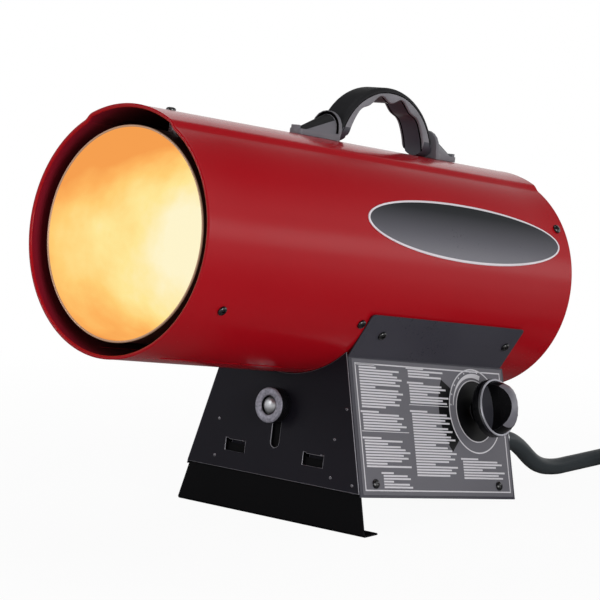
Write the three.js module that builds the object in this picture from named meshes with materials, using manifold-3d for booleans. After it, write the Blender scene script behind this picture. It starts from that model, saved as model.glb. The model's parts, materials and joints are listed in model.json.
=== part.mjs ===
// Forced air heater for bottled gas: a steel tube with a combustion chamber, fan and motor in it, on a
// folded steel base with an adjustable front leg. Millimetres, +Z up, the outlet faces -Y, the control
// panel faces +X. The heater stands on its leg and on the rear corners of its base, nose up.
import * as THREE from "three";
import { mergeVertices } from "three/addons/utils/BufferGeometryUtils.js";
import Module from "manifold-3d";

const wasm = await Module();
wasm.setup();

const { degToRad } = THREE.MathUtils;

// ---------------------------------------------------------------- driving dimensions

const GAP = 0.3; // left between two pieces that meet
const SHEET = 1; // gauge of the base's steel
const PITCH = degToRad(8.5); // how far the nose points up with the leg at its shortest

// Outer shell: its axis is the heater's axis, and y = 0 is its front rim.
const SHELL_R = 101.5;
const SHELL_LENGTH = 496;
const SHELL_WALL = 1;
const CROWN_RISE = 2.5; // the band along the top stands this far out
const CROWN_HALF = degToRad(25.5);
const CROWN_STEP = degToRad(5); // the joggle at each side of the band
const RIM_BEAD = 1.7; // radius of the rolled rim
const REAR = { handle: 185.5, motor: 92, base: 48.4, screw: 14, guard: 6 }; // ahead of the shell's rear rim
const VENT = { length: 45.6, width: 3, pitch: 52, first: 32, count: 3, angle: degToRad(160) };

// Combustion chamber
const ANNULUS = 14.5; // between the shell's outside and the chamber
const CHAMBER_R = SHELL_R - ANNULUS;
const CHAMBER_MOUTH = 7.8; // its mouth lies this far behind the front rim
const CHAMBER_LENGTH = 252;
const CHAMBER_WALL = 1;
const CHAMBER_BEAD = 1.2;
const BURNER_R = 58; // the opening in the chamber's rear wall
const LOUVRE = { count: 10, width: 5, from: 38, to: 53 }; // slots in the burner plate
const CUP = { frontR: 46, rearR: 34, depth: 52, wall: 1, holes: 8, holeR: 3.5, rows: 2 };
const STRAP = { width: 14, foot: 16, gauge: 1, topY: 45.8, sideY: 40.1, onChamber: 45.8, aheadOfBase: 9.3 };
const STRAP_ANGLES = [0, 120, -120].map(degToRad);

// Fan and motor
const MOTOR = { r: 32, length: 62, front: SHELL_LENGTH - REAR.motor, shaftR: 3, bossR: 11 };
const FAN = { tip: 15.5, hubR: 21, hubLength: 26, blades: 5, gauge: 1.2, chord: 46, rootPitch: 42, tipPitch: 24 };
const FAN_R = SHELL_R - FAN.tip;
const SPIDER = { gauge: 2, ringR: 24, armWidth: 16, tab: 14 };
const SPIDER_ANGLES = [58, -58, 180].map(degToRad);
const GUARD = { gauge: 1.6, hubR: 17, ringPitch: 10.4, bar: 2.4, rings: 7, spokes: 4 };
const GUARD_Y = SHELL_LENGTH - REAR.guard;

// Handle: an arch with finger grooves between two brackets, centred over this point of the shell
const HANDLE_Y = SHELL_LENGTH - REAR.handle;
const GRIP = { half: 69, height: 61.5, above: 57, width: 26, leg: 13.5, thick: 20.5, edge: 2.5 };
const GROOVE = { count: 3, pitch: 22, depth: 7 }; // under the arch's middle
const FOOT = { reach: 112, tip: 7.5, tab: 7.5, flange: 4.5, plate: 4, plateHalf: 16, plateTop: 25, rib: 12.5 };

// Base: a box with leaning sides under the rear half of the shell
const BASE_LENGTH = 224.3;
const BASE_REAR = SHELL_LENGTH - REAR.base;
const BASE_FRONT = BASE_REAR - BASE_LENGTH;
const BASE_DROP = 94.9; // its lower edge below the shell's lowest line
const BASE_BOTTOM = SHELL_R + BASE_DROP;
const BASE_HALF = SHELL_R + 0.5; // half the width at the bottom
const LEAN = degToRad(15.6); // of the sides
const PANEL_UP = 2.4; // lower edge of the front panel, above the base's lower edge
const RETURN = 9; // width of the flanges folded in at the sides' ends
const LIP = 11; // and along their lower edge
const FLANGE_ANGLE = degToRad(125); // where the top flanges touch the shell, from its top
const FLANGE = { above: 20.6, taper: 5.5, corner: 5 };
const WINDOW = { x: 45.5, up: 29.4, width: 23, height: 11, tab: 17, hook: 8 };

// Front leg, its clamp knob and the slot that the clamp slides in; up is from the base's lower edge
const LEG = { gauge: 1.5, up: 80.4, foot: 17, inset: 0.5, corner: 3, travel: 31 };
const CLAMP = { up: 65, studR: 4, slotHalf: 4.8, knobR: 15.6, knobDepth: 14.5, recessR: 8.6, domeR: 7.6 };

// Controls: the dial along the shell and up the leaning side cover, the rest up from the base's lower edge
const DIAL = { along: BASE_REAR - 48.6, up: 79.5 };
const KNOB = { skirtR: 26.3, skirtFrom: 16, skirtTo: 26, hubR: 13, hubFrom: 5, top: 45, push: 4 };
const STEM = { r: 4, to: 20 };
const VALVE = { wide: 34, tall: 38, deep: 30, behind: 6 };
const IGNITER = { x: -44, up: 46.4, bezelR: 12, buttonR: 8, barrelR: 9, barrel: 34, proud: 9, press: 6 };
const GLAND = { x: -8, up: 31.4, outerR: 9, boreR: 4, length: 12 };

// Gas path
const PIPE_R = 4;
const INLET = { x: 62, up: 50.9, boreR: 8, hexR: 12, hex: 8 };
const FERRULE = { r: 10, length: 16 };
const HOSE_R = 7.75;
const COIL = { middle: 80, sides: 6, perTurn: 24, pitch: 19, climb: 16.2 };
const REGULATOR = { discR: 24, disc: 30, neckR: 9, neck: 30, nutR: 23, nut: 30, lobes: 10 };

// Screws
const SCREW = { headR: 4.2, head: 2.6, shankR: 1.9, shank: 5, hole: 2.3 };
const REAR_SCREW_Y = SHELL_LENGTH - REAR.screw;

// ---------------------------------------------------------------- finishes

const finish = (color, roughness, metalness) =>
  new THREE.MeshStandardMaterial({ color, roughness, metalness });
const RED_ENAMEL = finish(0xa31720, 0.35, 0.1);
const BLACK_ENAMEL = finish(0x1c1b20, 0.5, 0.1);
const BLACK_PLASTIC = finish(0x17171a, 0.45, 0);
const GREY_PLASTIC = finish(0x3c3c40, 0.55, 0);
const SCORCHED_STEEL = finish(0x8a7768, 0.5, 0.8);
const BRIGHT_STEEL = finish(0xb4b6ba, 0.3, 0.9);
const BRASS = finish(0xb89a4e, 0.35, 0.9);
const CERAMIC = finish(0xe8e2d6, 0.5, 0);
const RUBBER = finish(0x2c3032, 0.7, 0);

// ---------------------------------------------------------------- geometry helpers

// A closed geometry as a solid, with its faces turned outwards.
function solidOf(geometry) {
  const bare = geometry.index ? geometry.toNonIndexed() : geometry.clone();
  bare.deleteAttribute("normal");
  bare.deleteAttribute("uv");
  const merged = mergeVertices(bare, 1e-4);
  const at = (i) => new THREE.Vector3().fromBufferAttribute(merged.attributes.position, i);
  const corners = merged.index.array;
  const faces = [];
  let volume = 0;
  for (let i = 0; i < corners.length; i += 3) {
    const [a, b, c] = corners.slice(i, i + 3);
    if (a === b || b === c || c === a) continue;
    faces.push([a, b, c]);
    volume += at(a).dot(at(b).cross(at(c)));
  }
  const triVerts = new Uint32Array(faces.flatMap(([a, b, c]) => (volume < 0 ? [a, c, b] : [a, b, c])));
  const vertProperties = new Float32Array(merged.attributes.position.array);
  return new wasm.Manifold(new wasm.Mesh({ numProp: 3, vertProperties, triVerts }));
}

function geometryOf(solid) {
  const mesh = solid.getMesh();
  const geometry = new THREE.BufferGeometry();
  geometry.setAttribute("position", new THREE.BufferAttribute(mesh.vertProperties, mesh.numProp));
  geometry.setIndex(new THREE.BufferAttribute(mesh.triVerts, 1));
  const faceted = geometry.toNonIndexed();
  faceted.computeVertexNormals();
  return faceted;
}

const join = (first, ...others) => others.reduce((sum, next) => sum.add(next), first);
const cut = (first, ...others) => others.reduce((rest, next) => rest.subtract(next), first);

// Adds one piece to a group of the scene graph.
function piece(parent, name, solid, material) {
  const mesh = new THREE.Mesh(geometryOf(solid), material);
  mesh.name = name;
  parent.add(mesh);
  return mesh;
}

const outline = (points) => new THREE.Shape(points.map(([x, y]) => new THREE.Vector2(x, y)));

function extruded(shape, depth, basis, origin, options = {}) {
  const geometry = new THREE.ExtrudeGeometry(shape, {
    depth,
    bevelEnabled: false,
    curveSegments: 8,
    ...options,
  });
  geometry.applyMatrix4(basis.clone().setPosition(origin));
  return solidOf(geometry);
}

const X = new THREE.Vector3(1, 0, 0);
const Y = new THREE.Vector3(0, 1, 0);
const Z = new THREE.Vector3(0, 0, 1);
const FACING_X = new THREE.Matrix4().makeBasis(Y, Z, X); // outline in (y, z), depth along x
const FACING_Y = new THREE.Matrix4().makeBasis(X, Z, Y); // outline in (x, z), depth along y
const FACING_Z = new THREE.Matrix4().makeBasis(X, Y, Z); // outline in (x, y), depth along z

const slabX = (shape, from, to, options) =>
  extruded(shape, to - from, FACING_X, new THREE.Vector3(from, 0, 0), options);
const slabY = (shape, from, to, options) =>
  extruded(shape, to - from, FACING_Y, new THREE.Vector3(0, from, 0), options);
const slabZ = (shape, from, to, options) =>
  extruded(shape, to - from, FACING_Z, new THREE.Vector3(0, 0, from), options);

const rectangle = (x0, y0, x1, y1) =>
  outline([
    [x0, y0],
    [x1, y0],
    [x1, y1],
    [x0, y1],
  ]);

// A box between two opposite corners.
function block([x0, y0, z0], [x1, y1, z1]) {
  const geometry = new THREE.BoxGeometry(x1 - x0, y1 - y0, z1 - z0);
  geometry.translate((x0 + x1) / 2, (y0 + y1) / 2, (z0 + z1) / 2);
  return solidOf(geometry);
}

// A round bar from one point to another.
function bar(radius, from, to, sides = 20, endRadius = radius) {
  const a = new THREE.Vector3(...from);
  const b = new THREE.Vector3(...to);
  const geometry = new THREE.CylinderGeometry(endRadius, radius, a.distanceTo(b), sides);
  const turn = new THREE.Quaternion().setFromUnitVectors(Y, b.clone().sub(a).normalize());
  geometry.applyQuaternion(turn);
  const middle = a.add(b).multiplyScalar(0.5);
  geometry.translate(middle.x, middle.y, middle.z);
  return solidOf(geometry);
}

// A profile of [radius, height] points turned about the Y axis, or about the Z axis.
function turnedY(profile, sides = 32) {
  return solidOf(new THREE.LatheGeometry(profile.map(([r, h]) => new THREE.Vector2(r, h)), sides));
}
function turnedZ(profile, sides = 32) {
  const geometry = new THREE.LatheGeometry(profile.map(([r, h]) => new THREE.Vector2(r, h)), sides);
  geometry.rotateX(Math.PI / 2);
  return solidOf(geometry);
}

// A closed loop of [offset, y] points carried round the heater's axis at a radius that may change
// with the angle from the top.
function ringSweep(loop, radiusAt, angles) {
  const positions = [];
  for (const angle of angles)
    for (const [offset, y] of loop) {
      const r = radiusAt(angle) + offset;
      positions.push(r * Math.sin(angle), y, r * Math.cos(angle));
    }
  const n = loop.length;
  const index = [];
  angles.forEach((_, i) => {
    const next = (i + 1) % angles.length;
    for (let j = 0; j < n; j++) {
      const k = (j + 1) % n;
      index.push(i * n + j, next * n + j, next * n + k, i * n + j, next * n + k, i * n + k);
    }
  });
  const geometry = new THREE.BufferGeometry();
  geometry.setAttribute("position", new THREE.Float32BufferAttribute(positions, 3));
  geometry.setIndex(index);
  return solidOf(geometry);
}

// Points of a circular arc in the plane, both ends included.
function arc(cx, cy, r, from, to, steps) {
  return Array.from({ length: steps + 1 }, (_, i) => {
    const a = from + ((to - from) * i) / steps;
    return [cx + r * Math.cos(a), cy + r * Math.sin(a)];
  });
}

const evenAngles = (count, from = 0) => Array.from({ length: count }, (_, i) => from + (i * 2 * Math.PI) / count);

// ---------------------------------------------------------------- frames

const part = new THREE.Group();
const heater = new THREE.Group(); // the heater's own axes, nose up
heater.rotation.x = -PITCH;
part.add(heater);

// The outer radius of the shell at an angle from its top.
function shellRadius(angle) {
  const a = Math.abs(Math.atan2(Math.sin(angle), Math.cos(angle)));
  const t = THREE.MathUtils.clamp((CROWN_HALF + CROWN_STEP - a) / CROWN_STEP, 0, 1);
  return SHELL_R + CROWN_RISE * t * t * (3 - 2 * t);
}

// A group on the shell's outside, with its Z axis pointing out.
function onShell(angle, y, radius = shellRadius(angle)) {
  const group = new THREE.Group();
  group.position.set(radius * Math.sin(angle), y, radius * Math.cos(angle));
  group.rotation.y = angle;
  heater.add(group);
  return group;
}

// A radial hole through the shell.
function radialHole(angle, y, r, sides = 8) {
  const out = shellRadius(angle) + 5;
  const low = shellRadius(angle) - 12;
  const at = (d) => [d * Math.sin(angle), y, d * Math.cos(angle)];
  return bar(r, at(low), at(out), sides);
}

// ---------------------------------------------------------------- screws

const CHAMBER_REAR = CHAMBER_MOUTH + CHAMBER_LENGTH;
const strapRearY = Math.min(CHAMBER_REAR - STRAP.onChamber, BASE_FRONT - STRAP.aheadOfBase);
const shellScrews = [
  ["shell_screw_top", 0, STRAP.topY],
  ["shell_screw_front_right", STRAP_ANGLES[1], STRAP.sideY],
  ["shell_screw_front_left", STRAP_ANGLES[2], STRAP.sideY],
  ["shell_screw_middle_right", STRAP_ANGLES[1], strapRearY],
  ["shell_screw_middle_left", STRAP_ANGLES[2], strapRearY],
  ["shell_screw_rear_right", SPIDER_ANGLES[0], REAR_SCREW_Y],
  ["shell_screw_rear_left", SPIDER_ANGLES[1], REAR_SCREW_Y],
  ["shell_screw_rear_bottom", SPIDER_ANGLES[2], REAR_SCREW_Y],
];

// A pan head screw along +Z whose head seats on z = 0.
function panScrew() {
  const seat = GAP;
  return turnedZ(
    [
      [0, -SCREW.shank],
      [SCREW.shankR, -SCREW.shank],
      [SCREW.shankR, seat],
      [SCREW.headR, seat],
      [SCREW.headR, seat + SCREW.head * 0.5],
      [SCREW.headR * 0.7, seat + SCREW.head],
      [0, seat + SCREW.head],
    ],
    8,
  );
}

// ---------------------------------------------------------------- shell and chamber

// Angles for the shell: even steps, with more of them where the crown steps down.
function shellAngles() {
  const even = evenAngles(54).map((a) => (a > Math.PI ? a - 2 * Math.PI : a));
  const inStep = (a) => Math.abs(Math.abs(a) - CROWN_HALF - CROWN_STEP / 2) < CROWN_STEP;
  const fine = [0, 0.25, 0.5, 0.75, 1].map((f) => CROWN_HALF + CROWN_STEP * f);
  return [...even.filter((a) => !inStep(a)), ...fine, ...fine.map((a) => -a)].sort((a, b) => a - b);
}

function buildShell() {
  const b = RIM_BEAD;
  const bead = (y, side) =>
    arc(-b + 0.5, y + side * b, b, side * -0.6, side * -Math.PI - 0.4 * side, 3);
  const front = bead(0, 1);
  const rear = bead(SHELL_LENGTH, -1).reverse();
  const loop = [
    [0, 2 * b],
    ...front,
    [-SHELL_WALL, 2 * b + 1],
    [-SHELL_WALL, SHELL_LENGTH - 2 * b - 1],
    ...rear,
    [0, SHELL_LENGTH - 2 * b],
  ];
  const vents = [];
  for (const side of [1, -1])
    for (let i = 0; i < VENT.count; i++) {
      const y = VENT.first + i * VENT.pitch;
      const slot = block([-VENT.width / 2, y, SHELL_R - 8], [VENT.width / 2, y + VENT.length, SHELL_R + 4]);
      const angle = side * VENT.angle;
      vents.push(slot.rotate([0, THREE.MathUtils.radToDeg(angle), 0]));
    }
  const holes = shellScrews.map(([, angle, y]) => radialHole(angle, y, SCREW.hole));
  const flangeHoles = [1, -1].flatMap((side) =>
    flangeScrewPlaces.map((y) => radialHole(side * FLANGE_ANGLE, y, SCREW.hole)),
  );
  const pipeHole = bar(PIPE_R + 2, [0, PIPE_RISE_Y, -SHELL_R - 6], [0, PIPE_RISE_Y, -SHELL_R + 6], 16);
  const shell = cut(ringSweep(loop, shellRadius, shellAngles()), ...vents, ...holes, ...flangeHoles, pipeHole);
  piece(heater, "outer_shell", shell, RED_ENAMEL);
  shellScrews.forEach(([name, angle, y]) => piece(onShell(angle, y), name, panScrew(), BLACK_ENAMEL));
}

function buildChamber() {
  const b = CHAMBER_BEAD;
  const wall = CHAMBER_WALL;
  const loop = [
    [0, CHAMBER_MOUTH + 2 * b],
    ...arc(0, CHAMBER_MOUTH + b, b, 0.5, -Math.PI, 4),
    [-wall - 0.2, CHAMBER_MOUTH + 2 * b],
    [-wall, CHAMBER_REAR],
    [0, CHAMBER_REAR],
  ];
  const screwY = [STRAP.topY, STRAP.sideY, STRAP.sideY];
  const clearances = STRAP_ANGLES.flatMap((angle, i) => [screwY[i], strapRearY].map((y) => [angle, y]));
  piece(heater, "combustion_chamber", ringSweep(loop, () => CHAMBER_R, evenAngles(48)), SCORCHED_STEEL);

  // The rear wall is a pressed ring whose turned rim fits inside the tube.
  const rim = CHAMBER_R - wall - GAP;
  const lip = 5;
  const ring = [
    [BURNER_R - rim, CHAMBER_REAR - wall],
    [BURNER_R - rim, CHAMBER_REAR],
    [0, CHAMBER_REAR],
    [0, CHAMBER_REAR - lip],
    [-wall, CHAMBER_REAR - lip],
    [-wall, CHAMBER_REAR - wall],
  ];
  piece(heater, "chamber_rear_wall", ringSweep(ring, () => rim, evenAngles(48)), SCORCHED_STEEL);

  // Straps hold the chamber in the middle of the shell: a foot on each, and a web between them.
  clearances.forEach(([angle, y], i) => {
    const half = STRAP.width / 2;
    const inner = shellRadius(angle) - SHELL_WALL - GAP;
    const top = Math.sqrt(inner * inner - half * half);
    const low = CHAMBER_R + GAP;
    const g = STRAP.gauge;
    const profile = outline([
      [-STRAP.foot / 2, top - g],
      [STRAP.foot / 2 - g, top - g],
      [STRAP.foot / 2 - g, low],
      [STRAP.foot * 1.5 - g, low],
      [STRAP.foot * 1.5 - g, low + g],
      [STRAP.foot / 2, low + g],
      [STRAP.foot / 2, top],
      [-STRAP.foot / 2, top],
    ]);
    const hole = bar(SCREW.hole, [0, 0, low - 1], [0, 0, top + 2], 10);
    const strap = cut(slabX(profile, -half, half), hole);
    const group = new THREE.Group();
    group.position.y = y;
    group.rotation.y = angle;
    heater.add(group);
    const place = ["top", "right", "left"][Math.floor(i / 2)];
    piece(group, `chamber_strap_${i % 2 ? "rear" : "front"}_${place}`, strap, BRIGHT_STEEL);
  });
}

// The burner: a plate in the chamber's rear opening, with swirl louvres round a perforated cup.
function buildBurner() {
  const plateR = BURNER_R - GAP;
  const y1 = CHAMBER_REAR - CHAMBER_WALL / 2;
  const y0 = y1 - 1.2;
  const plate = turnedY(
    [
      [JET.r + GAP, y0],
      [plateR, y0],
      [plateR, y1],
      [JET.r + GAP, y1],
      [JET.r + GAP, y0],
    ],
    32,
  );
  const louvre = block([-LOUVRE.width / 2, y0 - 1, LOUVRE.from], [LOUVRE.width / 2, y1 + 1, LOUVRE.to]);
  const slots = evenAngles(LOUVRE.count).map((a) => louvre.rotate([0, THREE.MathUtils.radToDeg(a), 0]));
  const rodHoles = [IGNITION.electrodeX, IGNITION.coupleX].map((x) =>
    bar(IGNITION.r + GAP, [x, y0 - 1, IGNITION.up], [x, y1 + 1, IGNITION.up], 12),
  );
  piece(heater, "burner_plate", cut(plate, ...slots, ...rodHoles), SCORCHED_STEEL);

  const w = CUP.wall;
  const rear = y0 - GAP;
  const front = rear - CUP.depth;
  const cup = turnedY(
    [
      [JET.r + GAP, rear],
      [JET.r + GAP, rear - w],
      [CUP.rearR - w, rear - w],
      [CUP.frontR - w, front],
      [CUP.frontR, front],
      [CUP.rearR, rear],
      [JET.r + GAP, rear],
    ],
    20,
  );
  const holes = [];
  for (let row = 0; row < CUP.rows; row++) {
    const y = front + (CUP.depth * (row + 1)) / (CUP.rows + 1);
    for (const a of evenAngles(CUP.holes, (row * Math.PI) / CUP.holes)) {
      const at = (d) => [d * Math.sin(a), y, d * Math.cos(a)];
      holes.push(bar(CUP.holeR, at(CUP.rearR - 8), at(CUP.frontR + 8), 6));
    }
  }
  const rods = [IGNITION.electrodeX, IGNITION.coupleX].map((x) =>
    bar(IGNITION.r + GAP, [x, rear - 2 * w, IGNITION.up], [x, rear + 1, IGNITION.up], 12),
  );
  piece(heater, "flame_cup", cut(cup, ...holes, ...rods), SCORCHED_STEEL);

  // The jet: a hex body with a nose that pokes into the cup.
  const hexBack = y1 + 12;
  const nose = turnedY(
    [
      [0, rear - 8],
      [JET.r - 1.5, rear - 8],
      [JET.r, rear - 4],
      [JET.r, y1 + 2],
      [0, y1 + 2],
    ],
    20,
  );
  const hex = bar(JET.hexR, [0, y1 + GAP, 0], [0, hexBack, 0], 6);
  piece(heater, "gas_jet", join(nose, hex), BRASS);

  const electrode = turnedY(
    [
      [0, rear - 26],
      [1, rear - 26],
      [1, rear - 12],
      [IGNITION.r, rear - 12],
      [IGNITION.r, y1 + 18],
      [0, y1 + 18],
    ],
    14,
  );
  const couple = turnedY(
    [
      [0, rear - 24],
      [1.6, rear - 22],
      [1.6, rear - 8],
      [IGNITION.r, rear - 8],
      [IGNITION.r, y1 + 14],
      [0, y1 + 14],
    ],
    14,
  );
  const place = (x) => {
    const group = new THREE.Group();
    group.position.set(x, 0, IGNITION.up);
    heater.add(group);
    return group;
  };
  piece(place(IGNITION.electrodeX), "igniter_electrode", electrode, CERAMIC);
  piece(place(IGNITION.coupleX), "thermocouple", couple, BRIGHT_STEEL);

  // Overheat switch, on the inside of the shell beside the chamber's rear.
  const group = onShell(degToRad(90), CHAMBER_REAR + 30, SHELL_R - SHELL_WALL);
  const flat = 11;
  const seat = -GAP - (flat * flat) / (2 * SHELL_R);
  const base = block([-flat, -7, seat - 2], [flat, 7, seat]);
  const can = bar(8, [0, 0, seat - 12], [0, 0, seat - 1], 24);
  const blades = [-4, 4].map((y) => block([-3, y - 0.4, seat - 19], [3, y + 0.4, seat - 11]));
  piece(group, "hi_limit_switch", join(base, can, ...blades), BLACK_PLASTIC);
}

const JET = { r: 7, hexR: 9 };
const IGNITION = { electrodeX: 18, coupleX: -18, up: 6, r: 3 };
const FAN_Y = MOTOR.front - 6 - FAN.hubLength / 2;
const PIPE_RISE_Y = (CHAMBER_REAR + FAN_Y) / 2 - 4.6; // between the burner and the fan

// ---------------------------------------------------------------- fan, motor and guard

function fanBlade() {
  // Sections from root to tip: a thin curved strip turned to its pitch, each rotated to trail a little.
  const stations = 5;
  const across = 4;
  const positions = [];
  const root = FAN.hubR - 3;
  for (let s = 0; s < stations; s++) {
    const f = s / (stations - 1);
    const r = root + (FAN_R - root) * f;
    const chord = FAN.chord * (0.62 + 0.5 * Math.sin(Math.PI * (0.15 + 0.6 * f)));
    const pitch = degToRad(THREE.MathUtils.lerp(FAN.rootPitch, FAN.tipPitch, f));
    const strip = (side) =>
      Array.from({ length: across + 1 }, (_, i) => {
        const u = i / across - 0.5;
        const bow = 4 * (0.25 - u * u) * 3.5;
        const along = u * chord;
        const up = bow + (side * FAN.gauge) / 2;
        const y = along * Math.sin(pitch) + up * Math.cos(pitch);
        const t = along * Math.cos(pitch) - up * Math.sin(pitch);
        const angle = t / r + 0.18 * f;
        return [r * Math.sin(angle), y, r * Math.cos(angle)];
      });
    positions.push(...strip(1), ...strip(-1).reverse());
  }
  const n = 2 * (across + 1);
  const index = [];
  for (let s = 0; s < stations - 1; s++)
    for (let j = 0; j < n; j++) {
      const k = (j + 1) % n;
      const a = s * n;
      const b = a + n;
      index.push(a + j, b + j, b + k, a + j, b + k, a + k);
    }
  for (let j = 0; j < across; j++) {
    const k = n - 1 - j;
    const last = (stations - 1) * n;
    index.push(j, j + 1, k - 1, j, k - 1, k);
    index.push(last + j, last + k - 1, last + j + 1, last + j, last + k, last + k - 1);
  }
  const geometry = new THREE.BufferGeometry();
  geometry.setAttribute("position", new THREE.Float32BufferAttribute(positions.flat(), 3));
  geometry.setIndex(index);
  return solidOf(geometry);
}

function buildFan() {
  const bore = MOTOR.shaftR + GAP;
  const half = FAN.hubLength / 2;
  const hub = turnedY(
    [
      [bore, -half],
      [FAN.hubR - 4, -half],
      [FAN.hubR, -half + 4],
      [FAN.hubR, half],
      [bore, half],
      [bore, -half],
    ],
    24,
  );
  const bladeSolid = fanBlade();
  const blades = evenAngles(FAN.blades).map((a) => bladeSolid.rotate([0, THREE.MathUtils.radToDeg(a), 0]));
  const core = bar(FAN.hubR - 2, [0, -half + 4, 0], [0, half, 0], 24);
  const middle = bar(bore, [0, -half - 1, 0], [0, half + 1, 0], 12);
  const group = new THREE.Group();
  group.position.y = FAN_Y;
  heater.add(group);
  piece(group, "fan", cut(join(hub, core, ...blades), middle), BRIGHT_STEEL);

  const shaftFrom = FAN_Y - half - 6;
  const shaftTo = MOTOR.front + 20;
  piece(heater, "motor_shaft", bar(MOTOR.shaftR, [0, shaftFrom, 0], [0, shaftTo, 0], 18), BRIGHT_STEEL);

  const m = MOTOR;
  const bored = m.shaftR + GAP;
  const motor = turnedY(
    [
      [bored, m.front],
      [m.bossR, m.front],
      [m.bossR, m.front + 4],
      [m.r - 5, m.front + 5],
      [m.r, m.front + 10],
      [m.r, m.front + m.length - 8],
      [m.r - 5, m.front + m.length - 3],
      [m.bossR, m.front + m.length],
      [0, m.front + m.length],
      [0, shaftTo + GAP],
      [bored, shaftTo + GAP],
      [bored, m.front],
    ],
    30,
  );
  piece(heater, "fan_motor", motor, BLACK_ENAMEL);
}

// A three-armed bracket carries the motor; its arms end in tabs under the shell's rear screws.
function buildSpider() {
  const y0 = MOTOR.front + MOTOR.length + GAP;
  const y1 = y0 + SPIDER.gauge;
  const ring = slabY(outline(arc(0, 0, SPIDER.ringR, 0, 2 * Math.PI, 32).slice(0, -1)), y0, y1);
  const reach = (angle) => {
    const inner = shellRadius(angle) - SHELL_WALL - GAP;
    const half = SPIDER.armWidth / 2;
    return Math.sqrt(inner * inner - half * half);
  };
  const arms = SPIDER_ANGLES.map((angle) => {
    const half = SPIDER.armWidth / 2;
    const top = reach(angle);
    const arm = block([-half, y0, 0], [half, y1, top]);
    const tab = block([-half, y0, top - SPIDER.gauge], [half, REAR_SCREW_Y + SPIDER.tab / 2, top]);
    const hole = bar(SCREW.hole, [0, REAR_SCREW_Y, top - 4], [0, REAR_SCREW_Y, top + 4], 10);
    return cut(join(arm, tab), hole).rotate([0, THREE.MathUtils.radToDeg(angle), 0]);
  });
  piece(heater, "motor_bracket", join(ring, ...arms), BRIGHT_STEEL);
}

// The intake guard: a pressed plate of ring-shaped bars on spokes, with a rim inside the shell.
function buildGuard() {
  const rim = SHELL_R - SHELL_WALL - 2 * GAP - 2 * RIM_BEAD;
  const plate = new THREE.Shape();
  plate.absarc(0, 0, rim, 0, 2 * Math.PI);
  for (let i = 0; i < GUARD.rings; i++) {
    const from = GUARD.hubR + i * GUARD.ringPitch;
    const to = Math.min(from + GUARD.ringPitch - GUARD.bar, rim - GUARD.bar);
    for (let s = 0; s < GUARD.spokes; s++) {
      const start = ((s + 0.5) * 2 * Math.PI) / GUARD.spokes;
      const end = start + (2 * Math.PI) / GUARD.spokes;
      const trim = (r) => GUARD.bar / r;
      const steps = 2 + Math.ceil(i / 2);
      const outer = arc(0, 0, to, start + trim(to), end - trim(to), steps);
      const inner = arc(0, 0, from, start + trim(from), end - trim(from), steps);
      const hole = new THREE.Path([...outer, ...inner.reverse()].map(([x, y]) => new THREE.Vector2(x, y)));
      plate.holes.push(hole);
    }
  }
  const guard = slabY(plate, GUARD_Y, GUARD_Y + GUARD.gauge, { curveSegments: 26 });
  piece(heater, "rear_guard", guard, BLACK_ENAMEL);
}

// ---------------------------------------------------------------- handle

const CROWN_TOP = SHELL_R + CROWN_RISE + GAP;
const GRIP_Z = SHELL_R + GRIP.above - GRIP.height; // the arch springs from this height above the axis
const ANKLE = CROWN_TOP - 6 - GRIP_Z; // the legs are drawn down to here and cut to fit the crown

// What the crown takes out of the handle's pieces.
function crownCut() {
  const reach = FOOT.reach + 10;
  return bar(CROWN_TOP, [0, HANDLE_Y - reach, 0], [0, HANDLE_Y + reach, 0], 120);
}

// The arch's outer side, grown by a margin, as [y, z] from one leg to the other.
function gripOuter(margin, steps) {
  const [across, up] = [GRIP.half + margin, GRIP.height + margin];
  return arc(0, 0, 1, Math.asin(ANKLE / up), Math.PI - Math.asin(ANKLE / up), steps).map(([y, z]) => [
    y * across,
    GRIP_Z + z * up,
  ]);
}

// The arch's inner side: flat legs that turn into a nearly straight top, which has the finger grooves.
function gripInner(steps) {
  const [across, up] = [GRIP.half - GRIP.leg, GRIP.height - GRIP.thick];
  const from = Math.atan(ANKLE / across);
  const grooved = (GROOVE.count * GROOVE.pitch) / 2;
  return Array.from({ length: steps + 1 }, (_, i) => {
    const a = Math.PI - from - ((Math.PI - 2 * from) * i) / steps;
    const r = (Math.abs(Math.cos(a) / across) ** 4 + Math.abs(Math.sin(a) / up) ** 4) ** -0.25;
    const y = r * Math.cos(a);
    const wave = Math.abs(y) < grooved ? (1 - Math.cos((2 * Math.PI * (y + grooved)) / GROOVE.pitch)) / 2 : 0;
    return [y, GRIP_Z + r * Math.sin(a) + GROOVE.depth * wave];
  });
}

// An upright outline in (x, z) with a round top.
function archOutline(half, top, steps = 10) {
  const bottom = CROWN_TOP - 4;
  const spring = Math.max(top - half, bottom + 1);
  const round = arc(0, 0, 1, 0, Math.PI, steps).map(([x, z]) => [x * half, spring + z * (top - spring)]);
  return [[half, bottom], ...round, [-half, bottom]];
}

// A body ruled between two outlines in (x, z) with as many points, at two places along y.
function lofted(from, to, y0, y1) {
  const n = from.length;
  const positions = [...from.map(([x, z]) => [x, y0, z]), ...to.map(([x, z]) => [x, y1, z])];
  const index = [];
  for (let j = 0; j < n; j++) {
    const k = (j + 1) % n;
    index.push(j, k, n + k, j, n + k, n + j);
  }
  for (let j = 1; j < n - 1; j++) index.push(0, j + 1, j, n, n + j, n + j + 1);
  const geometry = new THREE.BufferGeometry();
  geometry.setAttribute("position", new THREE.Float32BufferAttribute(positions.flat(), 3));
  geometry.setIndex(index);
  return solidOf(geometry);
}

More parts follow.
